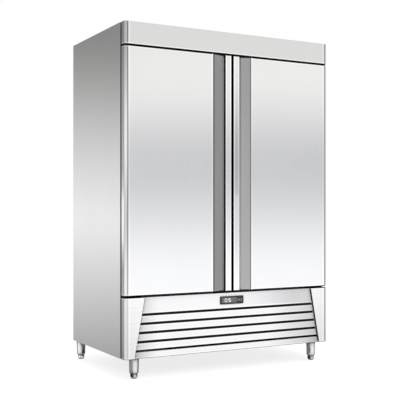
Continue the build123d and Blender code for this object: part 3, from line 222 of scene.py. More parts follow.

# Base and grille: where painted shade darkens the sheets towards their ends and on the cheeks, and
# how much
RIGHT_END = (0.26, 0.60)
LEFT_END = (-0.61, -0.48)
UPPER_BAND = (0.375, 0.377)
UPPER_END = (0.06, 0.44)
SHORT_END_SHARE = 0.85
END_SHADE_DEPTH = 0.34
RAIL_TOP = (0.1512, 0.1516)
RAIL_END = (0.6225, 0.6235)
CHEEK_SPREAD = (0.52, 0.64)
CHEEK_SHADE_DEPTH = (0.15, 0.03, 0.116, 0.42)

# Painted reflection on the side returns and painted shade on the right pull strip, along the height
# as (height, level)
RETURN_TOP = 1.98
RETURN_GAIN = 1.25
RETURN_REFLECTION_TONE = [
    (0.27, 0.70),
    (0.50, 0.54),
    (0.61, 0.44),
    (0.70, 0.66),
    (0.77, 0.93),
    (0.90, 1.0),
    (0.99, 1.0),
    (1.06, 0.72),
    (1.17, 0.55),
    (1.35, 0.62),
    (1.50, 0.68),
    (1.70, 0.80),
]
STRIP_TOP = 1.846
STRIP_SHADE_LEVELS = [
    (0.55, 0.0),
    (0.76, 0.11),
    (1.015, 0.03),
    (1.045, 0.22),
    (1.235, 0.28),
    (1.412, 0.25),
    (1.59, 0.13),
    (1.80, 0.0),
]

# Heights of sheet edges painted with a dark seam of painted shade and a bright painted highlight
# beside it
DOOR_EDGES = (0.467, 1.846)
HEADER_EDGES = (1.855,)
BASE_EDGES = (0.455, 0.116)
SLIT_COUNT = 5
SLIT_LOWEST = 0.1569
SLIT_PITCH = 0.0503
SLIT_HALF = 0.0053
SLIT_EDGES = [
    SLIT_LOWEST + number * SLIT_PITCH + side * SLIT_HALF
    for number in range(SLIT_COUNT)
    for side in (-1, 1)
]

# Brushing: stretch per axis, scales of its noises, and what they do to tone and roughness
UPRIGHT_GRAIN = (1.0, 1.0, 0.006)
LEVEL_GRAIN = (0.006, 1.0, 1.0)
LEG_GRAIN = (1.0, 1.0, 0.02)
FINE_SCALE = 900.0
COARSE_SCALE = 140.0
SMEAR_SCALE = 2.2
NOISE_SPREAD = (0.3, 0.7)
SMEAR_TONE = (0.0, 0.5, 0.35, 0.75)
SMEAR_ROUGHNESS = (-0.01, 0.02)
GRAIN_ROUGHNESS = 0.03
GRAIN_DEPTH = 0.00001
SPECULAR_LEVEL = 0.5

# Common colours
BLACK = (0.0, 0.0, 0.0)
HIGHLIGHT_WHITE = (0.98, 0.98, 0.98)
GLINT_WHITE = (0.97, 0.97, 0.97)
DOOR_STEEL = (0.80, 0.80, 0.80)
PANEL_STEEL = (0.74, 0.74, 0.74)
FRAME_STEEL = (0.78, 0.78, 0.78)
BASE_STEEL = (0.83, 0.83, 0.83)

# Brushed sheets that need nothing more: colour, roughness, grain and settings; closed and clear set
# how dark their painted shade in seams goes
SHEETS = {
    "side_sheet": (PANEL_STEEL, 0.20, UPRIGHT_GRAIN, {"closed": 0.62, "clear": 0.97}),
    "header_sheet": (
        PANEL_STEEL,
        0.24,
        LEVEL_GRAIN,
        {"folded": True, "edges": HEADER_EDGES, "hem": 0.95, "line": 0.0019},
    ),
    "liner_sheet": (DOOR_STEEL, 0.34, UPRIGHT_GRAIN, {"closed": 0.0, "clear": 0.45}),
    "frame_sheet": (FRAME_STEEL, 0.30, UPRIGHT_GRAIN, {"closed": 0.4, "clear": 0.8}),
    "leg_sheet": (PANEL_STEEL, 0.06, LEG_GRAIN, {"anisotropy": 0.0}),
    "coil_aluminium": (
        (0.70, 0.71, 0.72),
        0.35,
        LEVEL_GRAIN,
        {"closed": 0.1, "clear": 0.6},
    ),
}

# Plastics, rubber and paint: colour, roughness, then grain scale, grain depth and coat
MOULDINGS = {
    "breaker_plastic": ((0.12, 0.12, 0.13), 0.5),
    "gasket_rubber": ((0.05, 0.05, 0.05), 0.62, 700.0),
    "bush_plastic": ((0.78, 0.78, 0.76), 0.4),
    "bracket_coat": ((0.012, 0.012, 0.012), 0.6, 240.0),
    "black_paint": ((0.03, 0.03, 0.03), 0.38, 160.0, 0.0002, 0.3),
    "grey_plastic": ((0.30, 0.30, 0.31), 0.5),
    "black_plastic": ((0.04, 0.04, 0.045), 0.45),
    "bezel_plastic": ((0.014, 0.014, 0.015), 0.5),
    "window_plastic": ((0.104, 0.105, 0.107), 0.14, 60.0, 0.00001, 0.4),
    # near-black foam that also stands in for the shade behind the slits
    "filter_foam_and_shade": ((0.012, 0.012, 0.012), 0.9, 900.0, 0.0006),
    "mark_paint": ((0.36, 0.36, 0.37), 0.5),
    "button_plastic": ((0.125, 0.125, 0.13), 0.42),
    "white_plastic": ((0.82, 0.82, 0.80), 0.4),
}

# Plated, drawn or polished metal: colour, roughness, then wear and reach of the painted shade in
# grooves
BRIGHT_METALS = {
    "chromed_wire": ((0.75, 0.75, 0.76), 0.12),
    "foot_chrome": ((0.78, 0.78, 0.79), 0.05, 0.04, 0.012),
    "copper_tube": ((0.72, 0.42, 0.28), 0.24, 0.12),
    "screw_steel": ((0.60, 0.60, 0.60), 0.22, 0.08),
}

# Which finish each node takes
FINISH_NODES = {
    "side_sheet": ["side_panel_left", "side_panel_right", "top_panel"],
    "header_sheet": ["header_panel"],
    "door_sheet": ["left_door_skin", "right_door_skin"],
    "pull_sheet": ["left_pull_profile", "right_pull_profile"],
    "base_sheet": ["base_surround"],
    "grille_sheet": ["grille_panel"],
    "liner_sheet": [
        "inner_liner",
        "shelf_pilasters",
        "left_door_inner_panel",
        "right_door_inner_panel",
    ],
    "frame_sheet": ["front_frame"],
    "zinc_sheet": [
        "back_panel",
        "underfloor_panel",
        "base_pan",
        "rear_grille",
        "condensate_pan",
    ],
    "foam": ["insulation_foam", "left_door_core", "right_door_core"],
    "breaker_plastic": ["breaker_strips"],
    "gasket_rubber": ["left_door_gasket", "right_door_gasket", "compressor_grommets"],
    "bush_plastic": ["left_door_bushes", "right_door_bushes"],
    "bracket_coat": ["hinge_brackets"],
    "chromed_wire": [
        "shelf_clips",
        "right_shelf_1",
        "right_shelf_2",
        "right_shelf_3",
        "left_shelf_1",
        "left_shelf_2",
        "left_shelf_3",
    ],
    "leg_sheet": ["leg_tubes"],
    "foot_chrome": [
        "foot_front_left",
        "foot_front_right",
        "foot_rear_left",
        "foot_rear_right",
    ],
    "coil_aluminium": ["evaporator_coil", "condenser_coil"],
    "black_paint": ["fan_motors", "condenser_shroud", "compressor"],
    "grey_plastic": ["evaporator_drain", "evaporator_fan_blade", "condenser_fan_blade"],
    "black_plastic": ["power_inlet"],
    "bezel_plastic": ["controller_housing"],
    "window_plastic": ["display_window"],
    "button_plastic": ["set_button", "down_button", "up_button"],
    "copper_tube": ["refrigerant_lines"],
    "white_plastic": ["interior_light", "evaporator_cover"],
    "screw_steel": ["cabinet_screws"],
}

# Lit bars of a digit: top, upper right, lower right, bottom, lower left, upper left, middle
DIGIT_BARS = {"0": (0, 1, 2, 3, 4, 5), "5": (0, 2, 3, 5, 6)}
DIGIT_WIDTH = 0.0185
DIGIT_HEIGHT = 0.0215
DIGIT_STROKE = 0.0042
DIGIT_GAP = 0.0003
DIGIT_Z = 0.411
DIGIT_PROUD = 0.0003
DIGIT_SUNK = 0.0002
DIGIT_BEVEL = 0.0002
DIGITS = (("0", -0.0405), ("5", -0.0165))
WINDOW_FRONT = -0.4010

# Printed signs of the buttons
MARK_HALF = 0.0026
MARK_POINT = 0.8
MARK_HALF_DEPTH = 0.0002
MARK_BEVEL = 0.0001
MARK_CORNERS = 16

# Pleated filter behind the grille panel, which narrows from its bottom to its top
FILTER_BOTTOM = 0.1725
FILTER_TOP = 0.3850
FILTER_FRONT = -0.3884
FILTER_PLEAT = 0.0014
FILTER_PITCH = 0.004
FILTER_SHEET = 0.0006
FILTER_END_HEIGHT = 0.001
GRILLE_BOTTOM = 0.116
GRILLE_TOP = 0.455
GRILLE_BOTTOM_HALF = 0.630
GRILLE_TOP_HALF = 0.5664
GRILLE_SIDE = 0.0042
GRILLE_SLOPE = (GRILLE_BOTTOM_HALF - GRILLE_TOP_HALF) / (GRILLE_TOP - GRILLE_BOTTOM)


def grey(level):
    """A neutral colour."""
    return (level, level, level)


def around(value, reach):
    """The two numbers a reach below and above a value."""
    return (value - reach, value + reach)


def shade(colour, factor):
    """A colour made lighter or darker."""
    return tuple(min(1.0, channel * factor) for channel in colour[:3])


def node(tree, kind, **settings):
    """Adds a shader node; a setting names a property, or an input with spaces for underscores."""
    made = tree.nodes.new(kind)
    for key, value in settings.items():
        if hasattr(made, key):
            setattr(made, key, value)
        else:
            made.inputs[key.replace("_", " ")].default_value = value
    return made


def material(name):
    """A material with a Principled shader; returns the material, its tree and the shader."""
    made = bpy.data.materials.new(name)
    made.use_nodes = True
    tree = made.node_tree
    tree.nodes.clear()
    shader = tree.nodes.new("ShaderNodeBsdfPrincipled")
    output = tree.nodes.new("ShaderNodeOutputMaterial")
    tree.links.new(shader.outputs["BSDF"], output.inputs["Surface"])
    return made, tree, shader


def reopened(made):
    """The tree and the Principled shader of a finished material."""
    tree = made.node_tree
    return tree, next(n for n in tree.nodes if n.type == "BSDF_PRINCIPLED")


def source(shader, socket):
    """The output that feeds a shader's socket."""
    return shader.inputs[socket].links[0].from_socket


def space(tree, stretch=(1.0, 1.0, 1.0)):
    """The object's own metres, stretched per axis."""
    place = tree.nodes.new("ShaderNodeTexCoord").outputs["Object"]
    mapping = tree.nodes.new("ShaderNodeMapping")
    mapping.inputs["Scale"].default_value = stretch
    tree.links.new(place, mapping.inputs["Vector"])
    return mapping.outputs["Vector"]


def parts_of(tree, vector):
    """The x, y and z of a vector."""
    parts = tree.nodes.new("ShaderNodeSeparateXYZ")
    tree.links.new(vector, parts.inputs["Vector"])
    return parts.outputs["X"], parts.outputs["Y"], parts.outputs["Z"]


def axes(tree):
    """The object's own x, y and z in metres."""
    return parts_of(tree, space(tree))


def noise(tree, vector, scale, detail=2.0, roughness=0.5, distortion=0.0):
    """Noise over a space, from 0 to 1."""
    made = node(tree, "ShaderNodeTexNoise", Scale=scale, Detail=detail)
    made.inputs["Roughness"].default_value = roughness
    made.inputs["Distortion"].default_value = distortion
    tree.links.new(vector, made.inputs["Vector"])
    return made.outputs["Fac"]


def remap(tree, value, low, high, start=0.0, end=1.0):
    """A value moved from the range start to end into the range low to high."""
    made = tree.nodes.new("ShaderNodeMapRange")
    made.inputs["From Min"].default_value = start
    made.inputs["From Max"].default_value = end
    made.inputs["To Min"].default_value = low
    made.inputs["To Max"].default_value = high
    tree.links.new(value, made.inputs["Value"])
    return made.outputs["Result"]


def rising(tree, value, span, top=1.0):
    """0 below a span, and growing across it to the top share."""
    return remap(tree, value, 0.0, top, *span)


def falling(tree, value, span, top=1.0):
    """The top share below a span, and shrinking across it to 0."""
    return remap(tree, value, top, 0.0, *span)


def maths(tree, operation, first, second=0.0):
    """Sum, product or another operation of two values or numbers."""
    made = node(tree, "ShaderNodeMath", operation=operation)
    for socket, value in zip(made.inputs, (first, second)):
        if isinstance(value, (int, float)):
            socket.default_value = value
        else:
            tree.links.new(value, socket)
    return made.outputs["Value"]


def chain(tree, operation, first, *others):
    """One operation on several values in turn."""
    for other in others:
        first = maths(tree, operation, first, other)
    return first


def away(tree, value, centre=0.0):
    """How far a value is from a centre."""
    return maths(tree, "ABSOLUTE", maths(tree, "SUBTRACT", value, centre))


def nearest(tree, value, centres):
    """How far a value is from the nearest of several centres."""
    return chain(tree, "MINIMUM", *(away(tree, value, centre) for centre in centres))


def rest_of(tree, share):
    """What a share leaves of 1."""
    return maths(tree, "SUBTRACT", 1.0, share)


def blend_colour(tree, share, first, second):
    """A colour between two colours or colour outputs."""
    made = node(tree, "ShaderNodeMix", data_type="RGBA")
    tree.links.new(share, made.inputs["Factor"])
    for socket, value in ((made.inputs[6], first), (made.inputs[7], second)):
        if isinstance(value, (tuple, list)):
            socket.default_value = (*value[:3], 1.0)
        else:
            tree.links.new(value, socket)
    return made.outputs[2]


def scale_colour(tree, colour, factor):
    """A colour output times a value output."""
    made = node(tree, "ShaderNodeVectorMath", operation="SCALE")
    tree.links.new(colour, made.inputs[0])
    tree.links.new(factor, made.inputs["Scale"])
    return made.outputs["Vector"]


def mix_shaders(tree, share, first, second):
    """A shader output between two shader outputs."""
    made = tree.nodes.new("ShaderNodeMixShader")
    for socket, value in zip(made.inputs, (share, first, second)):
        tree.links.new(value, socket)
    return made.outputs["Shader"]


def raise_surface(tree, shader, height, distance, strength=1.0):
    """Bumps a shader's surface by a height from 0 to 1 over a distance in metres."""
    bump = node(tree, "ShaderNodeBump", Distance=distance, Strength=strength)
    tree.links.new(height, bump.inputs["Height"])
    tree.links.new(bump.outputs["Normal"], shader.inputs["Normal"])


def crevice_shade(tree, reach=0.06, closed=0.5, clear=0.92):
    """Painted shade: 0 deep in a seam and 1 on an open face, by how much nearby metal closes a
    point in.
    """
    made = node(tree, "ShaderNodeAmbientOcclusion", samples=8, Distance=reach)
    return remap(tree, made.outputs["AO"], 0.0, 1.0, closed, clear)


def height_curve(tree, height, stops, top):
    """A value along the height, from stops (height, value up to 1)."""
    ramp = tree.nodes.new("ShaderNodeValToRGB")
    band = ramp.color_ramp
    while len(band.elements) < len(stops):
        band.elements.new(0.5)
    for element, (place, level) in zip(band.elements, stops):
        element.position = place / top
        element.color = (*grey(level), 1.0)
    tree.links.new(maths(tree, "DIVIDE", height, top), ramp.inputs["Fac"])
    return ramp.outputs["Color"]


def fold_shade(tree):
    """Share of the painted shade along the front corners' folds, and on the sides and corner facets
    behind them.
    """
    x, y, z = axes(tree)
    outward = away(tree, x)
    fold = chain(
        tree,
        "MULTIPLY",
        falling(tree, away(tree, outward, FOLD_X), FOLD_SPREAD, FOLD_SHARE),
        remap(tree, z, FOLD_ON_BASE, 1.0, *BASE_TOP_FADE),
        remap(tree, x, 1.0, FOLD_ON_RIGHT, *MIDDLE_FADE),
    )
    side = rising(tree, outward, SIDE_FADE, SIDE_SHARE)
    corner = rising(tree, outward, CORNER_FADE, CORNER_SHARE)
    corner = maths(tree, "MULTIPLY", corner, falling(tree, y, CORNER_DEPTH))
    return chain(tree, "MAXIMUM", fold, side, corner)


def fold_glint(tree):
    """Share of the painted highlight just inside the front corners' folds."""
    x, _, _ = axes(tree)
    from_line = away(tree, away(tree, x), FOLD_HIGHLIGHT_X)
    return falling(tree, from_line, FOLD_HIGHLIGHT_SPREAD, FOLD_HIGHLIGHT_SHARE)


def return_reflection(tree):
    """Painted reflection on the narrow returns at the sides: brighter and darker bands along their
    height.
    """
    x, _, z = axes(tree)
    share = rising(tree, away(tree, x), RETURN_FADE)
    smears_and_reflections = height_curve(tree, z, RETURN_REFLECTION_TONE, RETURN_TOP)
    level = maths(tree, "MULTIPLY", smears_and_reflections, RETURN_GAIN)
    change = maths(tree, "MULTIPLY", share, maths(tree, "SUBTRACT", level, 1.0))
    return maths(tree, "ADD", 1.0, change)


def brushed_metal(
    name,
    colour,
    roughness,
    stretch,
    anisotropy=0.6,
    streak=0.02,
    band=0.15,
    folded=False,
    edges=(),
    hem=0.0,
    line=SEAM_SHADE_LINE,
    closed=0.5,
    clear=0.92,
):
    """Metal sheet with fine brushing along one axis, faint larger smears, and painted shade in its
    seams and recesses.
    """
    made, tree, shader = material(name)
    fine = noise(tree, space(tree, stretch), FINE_SCALE, detail=3.0)
    coarse = noise(tree, space(tree, stretch), COARSE_SCALE)
    smear = noise(tree, space(tree), SMEAR_SCALE, detail=4.0, roughness=0.6)
    grain = maths(
        tree,
        "ADD",
        maths(tree, "MULTIPLY", fine, 1 - band),
        maths(tree, "MULTIPLY", coarse, band),
    )
    lines = rising(tree, grain, NOISE_SPREAD)
    tone = blend_colour(tree, lines, shade(colour, 1 - streak), shade(colour, 1 + streak))
    smears_and_reflections = remap(tree, smear, *SMEAR_TONE)
    tone = blend_colour(tree, smears_and_reflections, tone, shade(colour, 0.98))
    # Painted shade: the colour goes to black in seams and recesses where nearby metal closes a
    # point in
    unshaded = crevice_shade(tree, closed=closed, clear=clear)
    tone = blend_colour(tree, unshaded, BLACK, tone)
    # Painted highlight inside the folds, painted shade along them and on the sides, and painted
    # reflection on the side returns
    if folded:
        tone = blend_colour(tree, fold_glint(tree), tone, HIGHLIGHT_WHITE)
        tone = blend_colour(tree, fold_shade(tree), tone, shade(colour, 0.25))
        tone = scale_colour(tree, tone, return_reflection(tree))
    # Painted highlight beside each seam height, and painted shade in the seam itself
    if edges:
        _, _, z = axes(tree)
        from_edge = nearest(tree, z, edges)
        highlight_hem_share = falling(tree, from_edge, (HIGHLIGHT_HEM, HIGHLIGHT_HEM * HIGHLIGHT_HEM_FADE), hem)
        tone = blend_colour(tree, highlight_hem_share, tone, HIGHLIGHT_WHITE)
        seam_shade_line = falling(tree, from_edge, (line, line * SEAM_SHADE_FADE), SEAM_SHADE_SHARE)
        tone = blend_colour(tree, seam_shade_line, tone, BLACK)
        unshaded = maths(tree, "MULTIPLY", unshaded, rest_of(tree, seam_shade_line))
    tree.links.new(tone, shader.inputs["Base Color"])
    tree.links.new(unshaded, shader.inputs["Metallic"])
    specular = maths(tree, "MULTIPLY", unshaded, SPECULAR_LEVEL)
    tree.links.new(specular, shader.inputs["Specular IOR Level"])
    rough = maths(
        tree,
        "ADD",
        remap(tree, grain, *around(roughness, GRAIN_ROUGHNESS), *NOISE_SPREAD),
        remap(tree, smear, *SMEAR_ROUGHNESS, *NOISE_SPREAD),
    )
    tree.links.new(rough, shader.inputs["Roughness"])
    raise_surface(tree, shader, fine, GRAIN_DEPTH, 0.3)
    shader.inputs["Anisotropic"].default_value = anisotropy
    return made


def channel_glint(tree):
    """Share of the painted highlight at the edge of each door's sheet along its grip channel."""
    x, _, _ = axes(tree)
    from_edge = nearest(tree, x, CHANNEL_GLINTS)
    return falling(tree, from_edge, CHANNEL_GLINT_SPREAD, GLINT_SHARE)


def front_face(tree):
    """1 on the doors' front faces, 0 behind them."""
    _, y, _ = axes(tree)
    return falling(tree, y, FRONT_FACE)


def door_metal():
    """Upright-brushed door sheet with a painted highlight along the grip channel."""
    made = brushed_metal(
        "door_sheet",
        DOOR_STEEL,
        0.16,
        UPRIGHT_GRAIN,
        folded=True,
        edges=DOOR_EDGES,
        hem=0.7,
        line=0.0018,
    )
    tree, shader = reopened(made)
    # Painted highlight along the grip channel, on the front face only
    glint = maths(tree, "MULTIPLY", channel_glint(tree), front_face(tree))
    tone = blend_colour(tree, glint, source(shader, "Base Color"), HIGHLIGHT_WHITE)
    tree.links.new(tone, shader.inputs["Base Color"])
    return made


def strip_colour(tree, tone, outward, on_right, on_strip):
    """Tone of the pull strips: painted highlights (glints) along their edges, and painted shade in
    patches along the right one.
    """
    x, _, z = axes(tree)
    # Painted shade in patches along the right strip's height
    patches = height_curve(tree, z, STRIP_SHADE_LEVELS, STRIP_TOP)
    strip_shade = chain(tree, "MULTIPLY", on_right, on_strip, patches)
    tone = scale_colour(tree, tone, rest_of(tree, strip_shade))
    # Painted highlights along the strips' edges and at the channel's edge
    from_inner = away(tree, outward, STRIP_INNER_GLINT)
    from_outer = nearest(tree, x, STRIP_OUTER_GLINTS)
    glint = chain(
        tree,
        "MAXIMUM",
        falling(tree, from_inner, STRIP_GLINT_SPREAD, GLINT_SHARE),
        falling(tree, from_outer, STRIP_GLINT_SPREAD, GLINT_SHARE),
        channel_glint(tree),
    )
    glint = maths(tree, "MULTIPLY", glint, front_face(tree))
    return blend_colour(tree, glint, tone, GLINT_WHITE)


def channel_colour(tree, outward, on_right, right_shift):
    """Tone of the grip channels: cloudy grey, with painted shade in their depth, towards their rims
    and by the right strip, and painted light low on the right one.
    """
    _, _, z = axes(tree)
    cloud = noise(tree, space(tree, UPRIGHT_GRAIN), CHANNEL_CLOUD_SCALE)
    tone = blend_colour(tree, cloud, *map(grey, CHANNEL_GREYS))
    # Painted shade, darker towards the channel's deep edge
    outer = rising(tree, outward, CHANNEL_DEPTH)
    depth_shade = blend_colour(tree, outer, *map(grey, CHANNEL_DEPTH_SHADE_GREYS))
    tone = blend_colour(tree, crevice_shade(tree, *CHANNEL_SEAM_SHADE), depth_shade, tone)
    # Painted shade towards the channel's outer edge
    to_rim = maths(tree, "SUBTRACT", outward, right_shift)
    rim_shade = rising(tree, to_rim, CHANNEL_RIM, RIM_SHADE_SHARE)
    tone = blend_colour(tree, rim_shade, tone, grey(CHANNEL_RIM_SHADE_GREY))
    # Painted light on the right channel, stronger lower down
    right_channel_light = maths(tree, "MULTIPLY", on_right, remap(tree, z, *CHANNEL_RIGHT_LIGHT))
    tone = scale_colour(tree, tone, maths(tree, "ADD", 1.0, right_channel_light))
    # Painted shade in the right channel beside the strip, stronger higher up
    corner = chain(
        tree,
        "MULTIPLY",
        on_right,
        falling(tree, outward, CHANNEL_CORNER),
        remap(tree, z, *CHANNEL_CORNER_SHADE_SHARE),
    )
    return blend_colour(tree, corner, tone, grey(CHANNEL_CORNER_SHADE_GREY))


def pull_metal():
    """Bright pull strips with painted highlights and painted shade at their edges, and the duller
    grey grip channels outside them.
    """
    made = brushed_metal("pull_sheet", DOOR_STEEL, 0.16, UPRIGHT_GRAIN, edges=DOOR_EDGES)
    tree, shader = reopened(made)
    x, _, _ = axes(tree)
    outward = away(tree, x)
    on_right = rising(tree, x, MIDDLE_LINE)
    on_strip = falling(tree, outward, STRIP_SIDE)
    right_shift = maths(tree, "MULTIPLY", on_right, CHANNEL_RIGHT_SHIFT)
    on_channel = maths(
        tree,
        "MULTIPLY",
        rising(tree, outward, CHANNEL_INNER),
        falling(tree, maths(tree, "ADD", outward, right_shift), CHANNEL_OUTER),
    )
    # Painted shade: dark edges of the strips where their walls fall in shade
    left_edge_shade = chain(
        tree,
        "MULTIPLY",
        rest_of(tree, on_right),
        rising(tree, outward, STRIP_LEFT_EDGE, STRIP_LEFT_SHARE),
        on_strip,
    )
    inner_edge_shade = falling(tree, outward, STRIP_INNER_EDGE, STRIP_INNER_SHARE)
    edge = maths(tree, "MAXIMUM", inner_edge_shade, left_edge_shade)
    for socket in ("Metallic", "Specular IOR Level"):
        level = maths(tree, "MULTIPLY", source(shader, socket), rest_of(tree, edge))
        tree.links.new(level, shader.inputs[socket])
    strip_tone = strip_colour(tree, source(shader, "Base Color"), outward, on_right, on_strip)
    strip_tone = blend_colour(tree, edge, strip_tone, BLACK)
    channel_tone = channel_colour(tree, outward, on_right, right_shift)
    tone = blend_colour(tree, on_channel, strip_tone, channel_tone)
    tree.links.new(tone, shader.inputs["Base Color"])
    duller = maths(tree, "MULTIPLY", on_channel, CHANNEL_ROUGHER)
    rough = maths(tree, "ADD", source(shader, "Roughness"), duller)
    tree.links.new(rough, shader.inputs["Roughness"])
    return made


def base_metal(name, edges, surround=False):
    """Level-brushed sheet with painted shade that darkens its louvres or rail towards their ends,
    and its cheeks too, more so lower down.
    """
    made = brushed_metal(
        name,
        BASE_STEEL,
        0.22,
        LEVEL_GRAIN,
        streak=0.09,
        band=0.5,
        folded=True,
        edges=edges,
        hem=0.6,
        line=0.0017,
        closed=0.6,
        clear=0.97,
    )
    tree, shader = reopened(made)
    x, _, z = axes(tree)
    outward = away(tree, x)
    # Painted shade: the louvres or rail darker towards their ends
    upper_end = rising(tree, x, UPPER_END, SHORT_END_SHARE)
    upper_end = maths(tree, "MULTIPLY", rising(tree, z, UPPER_BAND), upper_end)
    left_end = falling(tree, x, LEFT_END, SHORT_END_SHARE)
    ends = chain(tree, "MAXIMUM", rising(tree, x, RIGHT_END), upper_end, left_end)
    if surround:
        on_rail = maths(
            tree, "MULTIPLY", falling(tree, z, RAIL_TOP), falling(tree, outward, RAIL_END)
        )
        ends = maths(tree, "MULTIPLY", ends, on_rail)
    level = rest_of(tree, maths(tree, "MULTIPLY", ends, END_SHADE_DEPTH))
    # Painted shade on the cheeks, darker lower down
    if surround:
        on_cheek = rising(tree, outward, CHEEK_SPREAD)
        cheek_shade = maths(tree, "MULTIPLY", on_cheek, remap(tree, z, *CHEEK_SHADE_DEPTH))
        level = maths(tree, "SUBTRACT", level, cheek_shade)
    tone = scale_colour(tree, source(shader, "Base Color"), level)
    tree.links.new(tone, shader.inputs["Base Color"])
    return made


def galvanised(name):
    """Zinc-coated sheet with crystal spangles and dull patches."""
    made, tree, shader = material(name)
    cells = node(tree, "ShaderNodeTexVoronoi", Scale=70.0)
    tree.links.new(space(tree), cells.inputs["Vector"])
    facet = tree.nodes.new("ShaderNodeSeparateColor")
    tree.links.new(cells.outputs["Color"], facet.inputs["Color"])
    dull = noise(tree, space(tree), 3.0, detail=4.0)
    tone = blend_colour(tree, facet.outputs["Red"], (0.50, 0.51, 0.52), (0.60, 0.61, 0.62))
    patches = remap(tree, dull, 0.0, 0.6, 0.4, 0.8)
    tone = blend_colour(tree, patches, tone, (0.47, 0.48, 0.49))
    tree.links.new(tone, shader.inputs["Base Color"])
    rough = maths(
        tree,
        "ADD",
        remap(tree, facet.outputs["Green"], 0.36, 0.48),
        remap(tree, dull, -0.03, 0.08),
    )
    tree.links.new(rough, shader.inputs["Roughness"])
    raise_surface(tree, shader, facet.outputs["Blue"], 0.00004, 0.4)
    shader.inputs["Metallic"].default_value = 0.9
    return made


def moulded(name, colour, roughness, grain=400.0, depth=0.00008, coat=0.0):
    """Moulded plastic or rubber with a fine grain and slight unevenness of tone."""
    made, tree, shader = material(name)
    fine = noise(tree, space(tree), grain, detail=3.0)
    broad = noise(tree, space(tree), 9.0, detail=3.0)
    tone = blend_colour(tree, broad, shade(colour, 0.88), shade(colour, 1.12))
    tree.links.new(tone, shader.inputs["Base Color"])
    rough = maths(
        tree,
        "ADD",
        remap(tree, fine, *around(roughness, 0.06), *NOISE_SPREAD),
        remap(tree, broad, -0.04, 0.04),
    )
    tree.links.new(rough, shader.inputs["Roughness"])
    raise_surface(tree, shader, fine, depth, 0.5)
    shader.inputs["Coat Weight"].default_value = coat
    return made


def bright_metal(name, colour, roughness, wear=0.04, shade_reach=0.0):
    """Plated or polished metal with faint scuffs, and painted shade in its grooves over a reach."""
    made, tree, shader = material(name)
    scuff = noise(tree, space(tree), 260.0, detail=4.0, distortion=0.6)
    cloud = noise(tree, space(tree), 14.0, detail=3.0)
    tone = blend_colour(tree, cloud, shade(colour, 0.93), shade(colour, 1.05))
    # Painted shade in the grooves
    if shade_reach:
        tone = blend_colour(tree, crevice_shade(tree, shade_reach, 0.35, 0.95), BLACK, tone)
    tree.links.new(tone, shader.inputs["Base Color"])
    rough = maths(
        tree,
        "ADD",
        remap(tree, scuff, roughness, roughness + wear, 0.4, 0.7),
        remap(tree, cloud, 0.0, wear),
    )
    tree.links.new(rough, shader.inputs["Roughness"])
    raise_surface(tree, shader, scuff, 0.00002, 0.3)
    shader.inputs["Metallic"].default_value = 1.0
    return made


def foam_finish(name):
    """Rigid insulation foam with open pores."""
    made, tree, shader = material(name)
    pores = node(tree, "ShaderNodeTexVoronoi", Scale=420.0)
    tree.links.new(space(tree), pores.inputs["Vector"])
    depth = pores.outputs["Distance"]
    cloud = noise(tree, space(tree), 12.0, detail=4.0)
    tone = blend_colour(tree, cloud, (0.84, 0.78, 0.58), (0.88, 0.83, 0.67))
    tone = blend_colour(tree, falling(tree, depth, (0.0, 0.3), 0.5), tone, (0.62, 0.55, 0.38))
    tree.links.new(tone, shader.inputs["Base Color"])
    tree.links.new(remap(tree, cloud, 0.75, 0.95), shader.inputs["Roughness"])
    raise_surface(tree, shader, depth, 0.0006, 0.6)
    return made


def digit_light(name):
    """White lit plastic of the display's digits, a little uneven."""
    made = moulded(name, (0.70, 0.71, 0.72), 0.4)
    tree, shader = reopened(made)
    glow = remap(tree, noise(tree, space(tree), 120.0), 0.24, 0.34, *NOISE_SPREAD)
    shader.inputs["Emission Color"].default_value = (1.0, 1.0, 1.0, 1.0)
    tree.links.new(glow, shader.inputs["Emission Strength"])
    return made


def make_finishes():
    """Every finish by name."""
    finishes = {
        "door_sheet": door_metal(),
        "pull_sheet": pull_metal(),
        "base_sheet": base_metal("base_sheet", BASE_EDGES, surround=True),
        "grille_sheet": base_metal("grille_sheet", SLIT_EDGES),
        "zinc_sheet": galvanised("zinc_sheet"),
        "foam": foam_finish("foam"),
        "digit_light": digit_light("digit_light"),
    }
    for name, (colour, roughness, grain, settings) in SHEETS.items():
        finishes[name] = brushed_metal(name, colour, roughness, grain, **settings)
    for name, settings in MOULDINGS.items():
        finishes[name] = moulded(name, *settings)
    for name, settings in BRIGHT_METALS.items():
        finishes[name] = bright_metal(name, *settings)
    return finishes


def dress(nodes):
    """Gives every carried-over node its finish."""
    finishes = make_finishes()
    for finish, names in FINISH_NODES.items():
        for name in names:
            slots = nodes[name].data.materials
            slots.clear()
            slots.append(finishes[finish])
    return finishes


def add_piece(name, vertices, faces, finish, body):
    """A mesh piece with a finish that rides on a body."""
    mesh = bpy.data.meshes.new(name)
    mesh.from_pydata(vertices, [], faces)
    mesh.validate()
    mesh.update()
    mesh.materials.append(finish)
    piece = bpy.data.objects.new(name, mesh)
    bpy.context.scene.collection.objects.link(piece)
    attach(piece, body)


